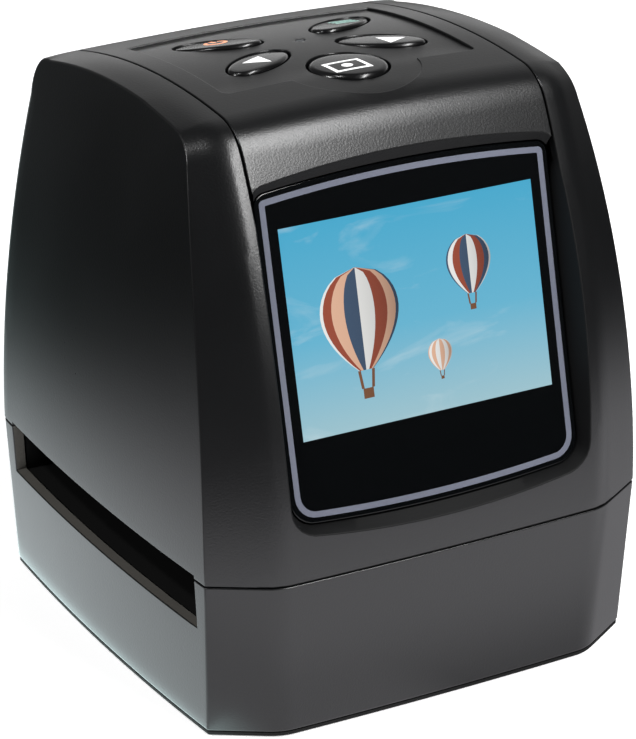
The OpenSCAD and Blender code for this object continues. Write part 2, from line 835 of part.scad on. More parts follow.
// ---------- film channel ----------
film_mid_y = (slot_front + slot_rear) / 2;
track_floor_z = slot_low - 0.2;
track_t = 2.0;
track_low_z = track_floor_z - track_t;
rail_t = 1.4;
rail_top_z = slot_high - 0.2;
track_inset = wall + 0.4;
diffuser_size = [40, 28, 1.5];
diffuser_gap = 0.2;
detent_at = [[-20, 34], [20, 34]];
detent_rod_r = 1.5;
detent_collar_r = 2.42;
detent_collar_h = 1.0;
detent_tail_r = 0.9;
detent_tail_h = 2;
detent_tip_r = 1.9;
detent_clear = 0.08;
detent_low_z = 10;
detent_tube_r = 3.6;
detent_floor_t = 1;
detent_roof_t = 1.2;
detent_bore_top_z = track_floor_z - detent_roof_t;
detent_bore_h = detent_bore_top_z - detent_low_z - detent_floor_t;

// Opening through everything, centred on the film
module window_cut(w, d) {
    translate([-w / 2, film_mid_y - d / 2, -1]) cube([w, d, through + 1]);
}

module film_track() {
    color(inner_color) difference() {
        union() {
            intersection() {
                plan_loft([[track_low_z, track_inset, track_low_z], [rail_top_z, track_inset, rail_top_z]]);
                translate([-through, slot_front - rail_t, 0])
                    cube([2 * through, slot_rear - slot_front + 2 * rail_t, through]);
            }
            for (d = detent_at)
                translate([d[0], d[1], detent_low_z])
                    cylinder(r = detent_tube_r, h = track_low_z - detent_low_z + eps, $fn = 36);
        }
        translate([-through, slot_front, track_floor_z])
            cube([2 * through, slot_rear + 0.05 - slot_front, through]);
        window_cut(diffuser_size[0] + 2 * diffuser_gap, diffuser_size[1] + 2 * diffuser_gap);
        for (d = detent_at) {
            translate([d[0], d[1], detent_low_z + detent_floor_t])
                cylinder(r = detent_collar_r + detent_clear, h = detent_bore_h, $fn = 36);
            translate([d[0], d[1], detent_bore_top_z - 1])
                cylinder(r = detent_rod_r + detent_clear, h = 10, $fn = 32);
        }
        post_cuts(post_r + post_gap);
    }
}

detent_tip_z = track_floor_z + detent_travel;
detent_collar_z = detent_bore_top_z - detent_collar_h - 0.02;

module detent_plunger(d) {
    rod_z = detent_collar_z + detent_collar_h / 2;
    color("#d8d4c8") translate([d[0], d[1], 0]) union() {
        translate([0, 0, detent_collar_z]) cylinder(r = detent_collar_r, h = detent_collar_h, $fn = 36);
        intersection() {
            translate([0, 0, rod_z]) cylinder(r = detent_rod_r, h = detent_tip_z - rod_z, $fn = 32);
            translate([0, 0, detent_tip_z - detent_tip_r]) sphere(r = detent_tip_r, $fn = 48);
        }
        translate([0, 0, rod_z]) cylinder(r = detent_rod_r, h = 1.4, $fn = 32);
        translate([0, 0, detent_collar_z - detent_tail_h])
            cylinder(r = detent_tail_r, h = detent_tail_h + eps, $fn = 28);
    }
}

spring_r = 1.75;
spring_wire = 0.22;
spring_turns = 5;
spring_end_gap = 0.03;

// Coil of round wire standing on the floor of the detent's bore
module detent_spring(d) {
    low = detent_low_z + detent_floor_t + spring_wire + spring_end_gap;
    high = detent_collar_z - spring_wire - spring_end_gap;
    steps = 16 * spring_turns;
    rings = [for (i = [0 : steps]) let (a = 360 * i / 16, z = low + (high - low) * i / steps)
        [for (k = [0 : 5]) let (w = 60 * k, r = spring_r + spring_wire * cos(w))
            [d[0] + r * cos(a), d[1] + r * sin(a), z + spring_wire * sin(w)]]];
    color(metal_color) ring_loft(rings);
}

module detent_plunger_left() { detent_plunger(detent_at[0]); }
module detent_plunger_right() { detent_plunger(detent_at[1]); }
module detent_spring_left() { detent_spring(detent_at[0]); }
module detent_spring_right() { detent_spring(detent_at[1]); }

gate_low_z = slot_high + 0.1;
gate_t = 1.8;
gate_top_z = gate_low_z + gate_t;
gate_inset = wall + 0.6;
gate_margin = rail_t + 0.3;
gate_window_gap = 0.3;
gate_boss = [[-32, -17], [32, -17], [-32, 27], [32, 27]];
gate_boss_r = 2.6;
tapped_r = 0.95;
tunnel_screw_x = 24.4;

module film_gate() {
    color(inner_color) difference() {
        union() {
            intersection() {
                plan_loft([[seam_z, gate_inset, gate_low_z], [seam_z, gate_inset, gate_top_z]]);
                translate([-through, slot_front - gate_margin, 0])
                    cube([2 * through, slot_rear - slot_front + 2 * gate_margin, through]);
            }
            for (b = gate_boss)
                translate([b[0], b[1], gate_top_z - eps])
                    cylinder(r = gate_boss_r, h = board_z - gate_top_z + eps, $fn = 32);
        }
        window_cut(frame_w + 2 * gate_window_gap, frame_h + 2 * gate_window_gap);
        for (b = gate_boss)
            translate([b[0], b[1], gate_top_z]) cylinder(r = tapped_r, h = 20, $fn = 24);
        for (x = [-tunnel_screw_x, tunnel_screw_x])
            translate([x, film_mid_y, 0]) cylinder(r = tapped_r, h = through, $fn = 24);
        post_cuts(post_r + post_gap);
    }
}

// ---------- light under the film ----------
module diffuser() {
    color("#f4f6f7") translate([0, film_mid_y, track_floor_z - diffuser_size[2] / 2])
        cube(diffuser_size, center = true);
}

box_w = 48;
box_d = 36;
box_wall = 1.5;
light_board_z = 6;
light_board_t = 1.6;
light_board_w = 62;
light_board_d = 38;
box_low_z = light_board_z + light_board_t;
led_pitch = 10;
led_size = [3.5, 2.8, 1.0];
light_screw_x = 27.5;
light_head_h = 1.2;

module light_box() {
    color("#e9ebec") difference() {
        translate([-box_w / 2, film_mid_y - box_d / 2, box_low_z])
            cube([box_w, box_d, track_low_z - box_low_z - 0.05]);
        translate([-box_w / 2 + box_wall, film_mid_y - box_d / 2 + box_wall, box_low_z - 1])
            cube([box_w - 2 * box_wall, box_d - 2 * box_wall, through]);
    }
}

module light_board() {
    color("#f0f0ee") difference() {
        translate([-light_board_w / 2, film_mid_y - light_board_d / 2, light_board_z])
            cube([light_board_w, light_board_d, light_board_t]);
        for (x = [-light_screw_x, light_screw_x])
            translate([x, film_mid_y, 0]) cylinder(r = 1.3, h = 20, $fn = 24);
    }
}

module light_leds() {
    color("#f7e27a") for (i = [-1.5 : 1.5]) for (j = [-1 : 1])
        translate([i * led_pitch - led_size[0] / 2, film_mid_y + j * led_pitch - led_size[1] / 2, box_low_z])
            cube(led_size);
}

module light_screws() {
    color(metal_color) for (x = [-light_screw_x, light_screw_x])
        translate([x, film_mid_y, box_low_z + light_head_h]) mirror([0, 0, 1])
            screw(2.2, light_head_h, 1.2, 4.5);
}

// ---------- camera over the film ----------
tunnel_w = 43;
tunnel_d = 31;
tunnel_t = 1.6;
tunnel_top_z = 53;
tunnel_foot = [54, 8, 2];
tunnel_collar_h = 5;
barrel_r = 8;
barrel_gap = 0.03;
barrel_low_z = 47;
barrel_high_z = 63;
barrel_rim_h = 2;
front_lens_r = 6;
front_lens_bulge = 1.1;
front_lens_z = barrel_low_z + 1.2;
front_seat_z = 52.5;
rear_lens_r = 5;
rear_lens_bulge = 0.9;
rear_seat_z = 57.5;
rear_lens_z = rear_seat_z + 0.5;
lens_gap = 0.05;
stop_r = 3;

module camera_tunnel() {
    room_w = tunnel_w - 2 * tunnel_t;
    room_d = tunnel_d - 2 * tunnel_t;
    color(inner_color) difference() {
        union() {
            translate([-tunnel_w / 2, film_mid_y - tunnel_d / 2, gate_top_z])
                cube([tunnel_w, tunnel_d, tunnel_top_z - gate_top_z]);
            translate([-tunnel_foot[0] / 2, film_mid_y - tunnel_foot[1] / 2, gate_top_z]) cube(tunnel_foot);
            translate([0, film_mid_y, tunnel_top_z - eps])
                cylinder(r = barrel_r + 2, h = tunnel_collar_h, $fn = 48);
        }
        translate([-room_w / 2, film_mid_y - room_d / 2, gate_top_z - 1])
            cube([room_w, room_d, tunnel_top_z - tunnel_t - gate_top_z + 1]);
        translate([0, film_mid_y, 40]) cylinder(r = barrel_r + barrel_gap, h = 40, $fn = 48);
        for (x = [-tunnel_screw_x, tunnel_screw_x])
            translate([x, film_mid_y, 0]) cylinder(r = small_hole_r, h = through, $fn = 24);
    }
}

module tunnel_screws() {
    color(metal_color) for (x = [-tunnel_screw_x, tunnel_screw_x])
        translate([x, film_mid_y, gate_top_z + tunnel_foot[2] + small_head_h]) mirror([0, 0, 1])
            small_screw(4.6);
}

module lens_barrel() {
    color("#141414") translate([0, film_mid_y, 0]) difference() {
        union() {
            translate([0, 0, barrel_low_z])
                cylinder(r = barrel_r, h = barrel_high_z - barrel_low_z, $fn = 48);
            translate([0, 0, rear_seat_z + 1.5]) cylinder(r = barrel_r + 1, h = barrel_rim_h, $fn = 48);
        }
        translate([0, 0, 40]) cylinder(r = front_lens_r + lens_gap, h = front_seat_z - 40, $fn = 48);
        translate([0, 0, 40]) cylinder(r = stop_r, h = 30, $fn = 40);
        translate([0, 0, rear_seat_z]) cylinder(r = rear_lens_r + lens_gap, h = 10, $fn = 48);
    }
}

// Biconvex lens element lying flat
module element(r, bulge, low_z) {
    big = (r * r + bulge * bulge) / (2 * bulge);
    translate([0, film_mid_y, low_z + bulge]) intersection() {
        translate([0, 0, big - bulge]) sphere(r = big, $fn = 90);
        translate([0, 0, bulge - big + 1]) sphere(r = big, $fn = 90);
        translate([0, 0, -bulge]) cylinder(r = r, h = 2 * bulge + 1, $fn = 48);
    }
}

module front_lens() { color("#8fb7c9") element(front_lens_r, front_lens_bulge, front_lens_z); }
module rear_lens() { color("#8fb7c9") element(rear_lens_r, rear_lens_bulge, rear_lens_z); }

holder_w = 22;
holder_room_w = 16;
holder_h = 6;
sensor_board_z = barrel_high_z + holder_h;
sensor_board_t = 1.4;
sensor_size = [11, 9, 1.2];
ribbon_socket = [9, 2.4, 1.2];

module sensor_holder() {
    color(inner_color) translate([0, film_mid_y, barrel_high_z + holder_h / 2]) difference() {
        cube([holder_w, holder_w, holder_h], center = true);
        cube([holder_room_w, holder_room_w, holder_h + 2], center = true);
    }
}

module sensor_chip() {
    color("#4a5d6a") translate([0, film_mid_y, sensor_board_z - sensor_size[2] / 2])
        cube(sensor_size, center = true);
}

module sensor_board() {
    socket_x = sensor_ribbon_x - ribbon_socket[0] / 2;
    socket_y = film_mid_y - 12.6;
    color(board_color) union() {
        translate([-14, film_mid_y - 13, sensor_board_z]) cube([28, 26, sensor_board_t]);
        translate([-9, film_mid_y + 3, sensor_board_z + sensor_board_t - eps]) cube([6, 5, 1 + eps]);
        translate([socket_x, socket_y, sensor_board_z + sensor_board_t - eps]) cube(ribbon_socket);
    }
}

// ---------- main board ----------
board_hw = 35.5;
board_front_y = -22;
board_rear_y = 41;
board_tunnel_gap = 2.4;
chip_xs = [[-12, 6.5], [-4, 6]];
chip_front_y = -21.3;
capacitor_at = [[-27, -18], [-20, -18.5], [31.8, 18], [33, -8]];
capacitor_r = 2;
capacitor_h = 5.4;

module main_board() {
    color(board_color) difference() {
        translate([-board_hw, board_front_y, board_z])
            cube([2 * board_hw, board_rear_y - board_front_y, board_t]);
        window_cut(tunnel_w + 2 * board_tunnel_gap, tunnel_d + 2 * board_tunnel_gap);
        window_cut(tunnel_foot[0] + 6, tunnel_foot[1] + 2);
        for (b = gate_boss) translate([b[0], b[1], 0]) cylinder(r = small_hole_r, h = through, $fn = 24);
    }
}

module main_chips() {
    color("#1b1c1f") {
        for (c = chip_xs) translate([c[0], chip_front_y, port_z]) cube([c[1], 6, 1.2]);
        translate([-34.5, -2, port_z]) cube([6, 8, 1]);
        translate([31, 9, port_z]) cube([4, 5, 1]);
        translate([25.6, -21, port_z]) cube([4, 6, 1]);
    }
}

module board_capacitors() {
    color("#7d8087") for (c = capacitor_at)
        translate([c[0], c[1], port_z]) cylinder(r = capacitor_r, h = capacitor_h, $fn = 28);
}

module board_screws() {
    color(metal_color) for (b = gate_boss)
        translate([b[0], b[1], port_z + small_head_h]) mirror([0, 0, 1]) small_screw(6);
}

card_socket_size = [28, 19.8, 3.6];
card_socket_y = 21.5;

module card_socket() {
    color(metal_color) difference() {
        translate([card_x - card_socket_size[0] / 2, card_socket_y, port_z]) cube(card_socket_size);
        translate([card_x - card_mouth[0] / 2, card_socket_y + 2, card_mouth_z])
            cube([card_mouth[0], 30, card_mouth[1]]);
    }
}

usb_y = 33.8;
usb_wall = 0.4;
usb_tongue = [4, 8.2, 0.9];

module usb_socket() {
    color(metal_color) difference() {
        translate([usb_x - usb_size[0] / 2, usb_y, port_z]) cube(usb_size);
        difference() {
            translate([usb_x - usb_size[0] / 2 + usb_wall, usb_y + 1.2, port_z + usb_wall])
                cube([usb_size[0] - 2 * usb_wall, 30, usb_size[2] - 2 * usb_wall]);
            translate([usb_x - usb_tongue[0] / 2, usb_y + 0.2, port_z + (usb_size[2] - usb_tongue[2]) / 2])
                cube(usb_tongue);
        }
    }
}

jack_r = 1.75;
jack_face_y = 43.2;
jack_length = 12;
jack_body = [7, 11.2, 6];
jack_body_y = 29.6;

module video_jack() {
    body_end = jack_body_y + jack_body[1];
    color("#e0b83a") difference() {
        union() {
            translate([jack_x - jack_body[0] / 2, jack_body_y, port_z]) cube(jack_body);
            translate([jack_x, body_end - eps, jack_z]) rotate([-90, 0, 0])
                cylinder(r = jack_barrel_r, h = jack_face_y - body_end + eps, $fn = 36);
        }
        translate([jack_x, jack_face_y - jack_length, jack_z]) rotate([-90, 0, 0])
            cylinder(r = jack_r, h = 30, $fn = 36);
    }
}

base_shell();
upper_shell();
top_cover();
bottom_plate();
rubber_feet();
base_screws();
film_track();
film_gate();
diffuser();
light_box();
light_board();
light_leds();
light_screws();
detent_plunger_left();
detent_plunger_right();
detent_spring_left();
detent_spring_right();
camera_tunnel();
tunnel_screws();
lens_barrel();
front_lens();
rear_lens();
sensor_holder();
sensor_chip();
sensor_board();
sensor_ribbon();
main_board();
main_chips();
board_capacitors();
board_screws();
card_socket();
usb_socket();
video_jack();
screen_window();
lcd_panel();
lcd_bracket();
display_board();
display_ribbon();
display_screws();
button_board();
button_board_screws();
button_ribbon();
tact_switches();
indicator_led();
light_pipe();
button_power();
button_menu();
button_up();
button_down();
button_scan();
plunger_power();
plunger_menu();
plunger_up();
plunger_down();
plunger_scan();
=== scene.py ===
"""Dresses the film scanner: smooth housing mouldings, screen, buttons and finishes round the CAD frame.

Lengths are in millimetres until a piece is finished, which turns them into metres. The studio's lengths
are in metres from the start.
"""

import json
import logging
import math
from collections.abc import Callable, Iterable, Sequence
from dataclasses import dataclass
from enum import Enum
from functools import cache, cached_property
from typing import Any

import bmesh
import bpy
import numpy as np
from bmesh.types import BMEdge, BMesh, BMFace, BMLayerItem, BMVert
from bpy.types import Material, Node, NodeSocket, NodeTree
from mathutils import Matrix, Vector
from mathutils.geometry import delaunay_2d_cdt


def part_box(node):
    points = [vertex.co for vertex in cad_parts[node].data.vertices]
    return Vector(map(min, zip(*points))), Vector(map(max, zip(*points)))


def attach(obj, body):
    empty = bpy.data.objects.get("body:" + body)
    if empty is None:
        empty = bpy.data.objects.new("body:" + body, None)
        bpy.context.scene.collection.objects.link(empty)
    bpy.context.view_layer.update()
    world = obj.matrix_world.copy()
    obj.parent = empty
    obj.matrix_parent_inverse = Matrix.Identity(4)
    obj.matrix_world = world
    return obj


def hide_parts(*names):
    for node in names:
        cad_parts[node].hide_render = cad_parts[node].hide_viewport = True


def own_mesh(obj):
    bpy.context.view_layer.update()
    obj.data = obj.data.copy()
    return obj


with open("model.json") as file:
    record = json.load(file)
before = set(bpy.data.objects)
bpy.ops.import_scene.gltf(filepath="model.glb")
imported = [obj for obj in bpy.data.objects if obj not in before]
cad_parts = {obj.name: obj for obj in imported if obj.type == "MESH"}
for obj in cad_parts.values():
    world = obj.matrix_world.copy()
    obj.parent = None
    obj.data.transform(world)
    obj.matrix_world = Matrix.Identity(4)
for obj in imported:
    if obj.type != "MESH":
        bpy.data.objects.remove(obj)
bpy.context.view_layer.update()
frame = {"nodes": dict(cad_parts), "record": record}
LOG = logging.getLogger("scanner")
MM = 0.001

Pair = tuple[float, float]
Colour = tuple[float, float, float]
Placer = Callable[[float, float], tuple[Vector, Vector]]


class Side(Enum):
    """Left or right, as the sign of x."""

    LEFT = -1
    RIGHT = 1


# ---------- outline of the housing ----------
@dataclass(frozen=True)
class Arc:
    """One arc of the housing's side view; headings are in degrees, 0 forwards and 90 up."""

    centre: Vector
    radius: float
    start: float
    end: float

    @property
    def length(self) -> float:
        """Length of the arc."""
        return math.radians(self.end - self.start) * self.radius

    def point(self, turn: float, inset: float) -> Pair:
        """Place of a heading on the arc, drawn in by inset, as y and z."""
        a = math.radians(turn)
        r = self.radius - inset
        return self.centre.x - r * math.cos(a), self.centre.y + r * math.sin(a)


@dataclass(frozen=True)
class Outline:
    """The housing's outer form: a wrap-round band for front, top and back, closed by two leaning sides."""

    body_w: float = 90.1
    seam_z: float = 29.8
    top_z: float = 106.0
    front_y: float = -44.3
    rear_y: float = 44.3
    front_r: float = 155.0
    top_r: float = 168.0
    rear_r: float = 1200.0
    front_roll: float = 10.0
    rear_roll: float = 9.5
    top_crest_y: float = -5.0
    kink_x: float = 31.6
    kink_blend: float = 2.1
    front_facet: float = 30.0
    front_fade: float = 0.6
    top_facet: float = 7.0
    top_fade: int = 4
    front_bow: float = 0.6
    top_bow: float = 0.95
    bow_fade: int = 6
    side_lean: float = 8.2
    lean_power: float = 1.7
    side_run: float = 70.6
    side_bow: float = 0.00097
    side_bow_ease: float = 0.35
    side_crest_y: float = 16.4
    side_crest_shift: float = 35.3
    shift_power: float = 2.4
    base_low_z: float = 1.0
    base_taper: float = 1.1
    base_front_taper: float = 2.15
    base_rear_taper: float = 0.7
    base_kink_taper: float = 1.2
    edge_r: float = 0.45
    edge_steps: int = 5
    rear_corner_r: float = 3.0
    probe: float = 0.05

    def base_part(self, z: float) -> float:
        """How far a height lies below the seam, as a share of the base's height."""
        return (self.seam_z - z) / (self.seam_z - self.base_low_z)

    def side_x(self, y: float, z: float) -> float:
        """Half width of the housing at a place on its side.

        Args:
            y: The place from front to back.
            z: Its height.

        Returns:
            The half width.
        """
        if z < self.seam_z:
            off = y - self.side_crest_y
            return self.body_w / 2 - self.base_taper * self.base_part(z) - self.side_bow * off**2
        t = (z - self.seam_z) / self.side_run
        off = y - self.side_crest_y + self.side_crest_shift * t**self.shift_power
        bow = self.side_bow * (1 - self.side_bow_ease * t)
        return self.body_w / 2 - self.side_lean * t**self.lean_power - bow * off * off

    def upper_side_x(self, y: float, z: float) -> float:
        """Half width at a place on the upper shell's side, which goes straight down under the seam."""
        return self.side_x(y, max(z, self.seam_z))

    @cached_property
    def arcs(self) -> list[Arc]:
        """The five arcs of the side view, from the seam in front over the top to the seam at the back."""
        front = Vector((self.front_y + self.front_r, self.seam_z))
        top = Vector((self.top_crest_y, self.top_z - self.top_r))
        rear = Vector((self.rear_y - self.rear_r, self.seam_z))
        roll_f = meeting_point(front, self.front_r - self.front_roll, top, self.top_r - self.front_roll, -1)
        roll_r = meeting_point(rear, self.rear_r - self.rear_roll, top, self.top_r - self.rear_roll, 1)
        joints = [heading(front, roll_f), heading(top, roll_f), heading(top, roll_r), heading(rear, roll_r)]
        turns = [0, *joints, 180]
        centres = [front, roll_f, top, roll_r, rear]
        radii = [self.front_r, self.front_roll, self.top_r, self.rear_roll, self.rear_r]
        return [Arc(c, r, a, b) for c, r, a, b in zip(centres, radii, turns, turns[1:])]

    @cached_property
    def length(self) -> float:
        """Length of the side view from seam to seam."""
        return sum(arc.length for arc in self.arcs)

    def at(self, s: float, inset: float = 0.0) -> tuple[float, float, float]:
        """Place on the side view.

        Args:
            s: Distance along it from the front seam.
            inset: How far the place is drawn in.

        Returns:
            The place's y, z and heading.
        """
        for arc in self.arcs[:-1]:
            if s <= arc.length:
                break
            s -= arc.length
        else:
            arc = self.arcs[-1]
        turn = arc.start + math.degrees(s / arc.radius)
        return *arc.point(turn, inset), turn

    def drop(self, x: float, turn: float) -> float:
        """How far the wrap-round surface falls away from its centre line.

        Args:
            x: Distance from the centre line.
            turn: Heading of the place on the side view.

        Returns:
            The fall, square to the centre line.
        """
        a = math.radians(turn)
        if turn < 90:
            more = (self.front_facet - self.top_facet) * max(math.cos(a), 0) ** self.front_fade
            facet = self.top_facet + more
        else:
            facet = self.top_facet * math.sin(a) ** self.top_fade
        end = self.front_bow if turn < 90 else 0.0
        bow = end + (self.top_bow - end) * math.sin(a) ** self.bow_fade
        bend = math.tan(math.radians(facet)) * soft_ramp(abs(x) - self.kink_x, self.kink_blend)
        return bow * (x / self.kink_x) ** 2 + bend

    def wrap(self, x: float, s: float, inset: float = 0.0) -> Vector:
        """Point of the wrap-round surface at a distance s along the side view, drawn in by inset."""
        y, z, turn = self.at(s, inset)
        d = self.drop(x, turn)
        a = math.radians(turn)
        return Vector((x, y + math.cos(a) * d, z - math.sin(a) * d))

    def edge_x(self, s: float, inset: float = 0.0) -> float:
        """Half width at which the wrap-round surface meets the side, both drawn in by inset."""
        x = self.body_w / 2
        for _ in range(10):
            p = self.wrap(x, s, inset)
            x = self.upper_side_x(p.y, p.z) - inset
        return x

    def front_s(self, z: float) -> float:
        """Distance along the side view of a height in front."""
        return math.asin((z - self.seam_z) / self.front_r) * self.front_r

    def rear_s(self, z: float) -> float:
        """Distance along the side view of a height at the back."""
        return self.length - math.asin((z - self.seam_z) / self.rear_r) * self.rear_r

    def solve_s(self, x: float, low: float, high: float, wanted: float, axis: int) -> float:
        """Distance along the side view at which the surface has a coordinate.

        Args:
            x: Place from side to side.
            low: Start of the stretch to search, where the coordinate is lower.
            high: End of the stretch to search.
            wanted: The coordinate's value.
            axis: 1 for y and 2 for z.

        Returns:
            The distance from the front seam.
        """
        for _ in range(26):
            middle = (low + high) / 2
            if self.wrap(x, middle)[axis] < wanted:
                low = middle
            else:
                high = middle
        return (low + high) / 2

    def top_s(self, x: float, y: float) -> float:
        """Distance along the side view of a place on the top."""
        start = self.arcs[0].length
        return self.solve_s(x, start, start + sum(a.length for a in self.arcs[1:4]), y, 1)

    def corner_radius(self, s: float) -> float:
        """Radius of the edge between wrap-round surface and side, which widens at the back."""
        before = sum(a.length for a in self.arcs[:3])
        share = min(max((s - before) / self.arcs[3].length, 0.0), 1.0)
        return self.edge_r + (self.rear_corner_r - self.edge_r) * share * share

    def corner(self, s: float, wall: float) -> tuple[float, list[Vector], Vector]:
        """Rounded edge between the wrap-round surface and the right side at one place.

        Args:
            s: Distance along the side view.
            wall: Thickness of the housing.

        Returns:
            The half width where the rounding starts, its points down to the side, and the inner corner.
        """
        x = self.edge_x(s)
        turn = math.radians(self.at(s)[2])
        p = self.wrap(x, s)
        inwards = Vector((0, math.cos(turn), -math.sin(turn)))
        along_wrap = (self.wrap(x - self.probe, s) - p).normalized()
        step = p + inwards * self.probe
        along_side = (Vector((self.upper_side_x(step.y, step.z), step.y, step.z)) - p).normalized()
        run = self.corner_radius(s) * math.tan((math.pi - along_wrap.angle(along_side)) / 2)
        x_start = x + along_wrap.x * run
        end = p + inwards * run
        end.x = self.upper_side_x(end.y, end.z)
        rounding = curve_points(self.wrap(x_start, s), p, end, self.edge_steps)
        return x_start, rounding, self.wrap(self.edge_x(s, wall), s, wall)


def meeting_point(c1: Vector, r1: float, c2: Vector, r2: float, side: int) -> Vector:
    """Point that lies r1 from c1 and r2 from c2, on the side given by a sign."""
    gap = c2 - c1
    run = (r1 * r1 - r2 * r2 + gap.length_squared) / (2 * gap.length)
    rise = math.sqrt(r1 * r1 - run * run)
    unit = gap.normalized()
    return c1 + unit * run + Vector((-unit.y, unit.x)) * (side * rise)


def heading(start: Vector, end: Vector) -> float:
    """Direction from one centre to another in degrees, 0 forwards and 90 up."""
    return math.degrees(math.atan2(end.y - start.y, start.x - end.x))


def soft_ramp(u: float, width: float) -> float:
    """Ramp that starts softly: 0 below -width and u above width."""
    if u <= -width:
        return 0.0
    return u if u >= width else (u + width) ** 2 / (4 * width)


def sagitta(x: float, radius: float) -> float:
    """How far a circle has fallen from its crest at a distance x from it."""
    return radius - math.sqrt(radius * radius - x * x)


def curve_points(start: Vector, corner: Vector, end: Vector, count: int) -> list[Vector]:
    """Points after start on the curve that rounds a corner, the end included."""
    steps = [(k + 1) / count for k in range(count)]
    return [start * (1 - t) ** 2 + corner * (2 * t * (1 - t)) + end * t * t for t in steps]


def spread(start: float, end: float, spacing: float) -> list[float]:
    """Even steps from start up to, but without, end."""
    count = max(1, round(abs(end - start) / spacing))
    return [start + (end - start) * k / count for k in range(count)]


def ellipse(centre: Sequence[float], a: float, b: float, turn: float, count: int) -> list[Vector]:
    """Points round an ellipse.

    Args:
        centre: Its middle.
        a: Half its long axis.
        b: Half its short axis.
        turn: Turn of the long axis in degrees.
        count: How many points.

    Returns:
        The points, against the clock from the long axis's end.
    """
    t = math.radians(turn)
    made = []
    for k in range(count):
        u, v = a * math.cos(math.tau * k / count), b * math.sin(math.tau * k / count)
        x, y = u * math.cos(t) - v * math.sin(t), u * math.sin(t) + v * math.cos(t)
        made.append(Vector((centre[0] + x, centre[1] + y)))
    return made


# ---------- filling and walling sheets ----------
def distances(points: np.ndarray, path: np.ndarray) -> np.ndarray:
    """Distance of each point from a closed path, both given one place a row."""
    a, b = path[None], np.roll(path, -1, axis=0)[None]
    run = b - a
    t = np.clip(((points[:, None] - a) * run).sum(2) / np.maximum((run * run).sum(2), 1e-12), 0, 1)
    return np.linalg.norm(points[:, None] - a - t[..., None] * run, axis=2).min(1)


def lies_inside(points: np.ndarray, path: np.ndarray) -> np.ndarray:
    """Whether each point lies inside a closed path.

    Args:
        points: The points, one a row.
        path: The path's corners, one a row.

    Returns:
        One truth for each point.
    """
    x, y = points[:, 0, None], points[:, 1, None]
    x1, y1 = path.T
    x2, y2 = np.roll(path, -1, axis=0).T
    crosses = (y1 > y) != (y2 > y)
    at = (x2 - x1) * (y - y1) / np.where(crosses, y2 - y1, 1.0) + x1
    return (crosses & (x < at)).sum(1) % 2 == 1


def in_region(points: np.ndarray, paths: Sequence[np.ndarray]) -> np.ndarray:
    """Whether each point lies inside the first path and outside the others."""
    inside = lies_inside(points, paths[0])
    for hole in paths[1:]:
        inside &= ~lies_inside(points, hole)
    return inside


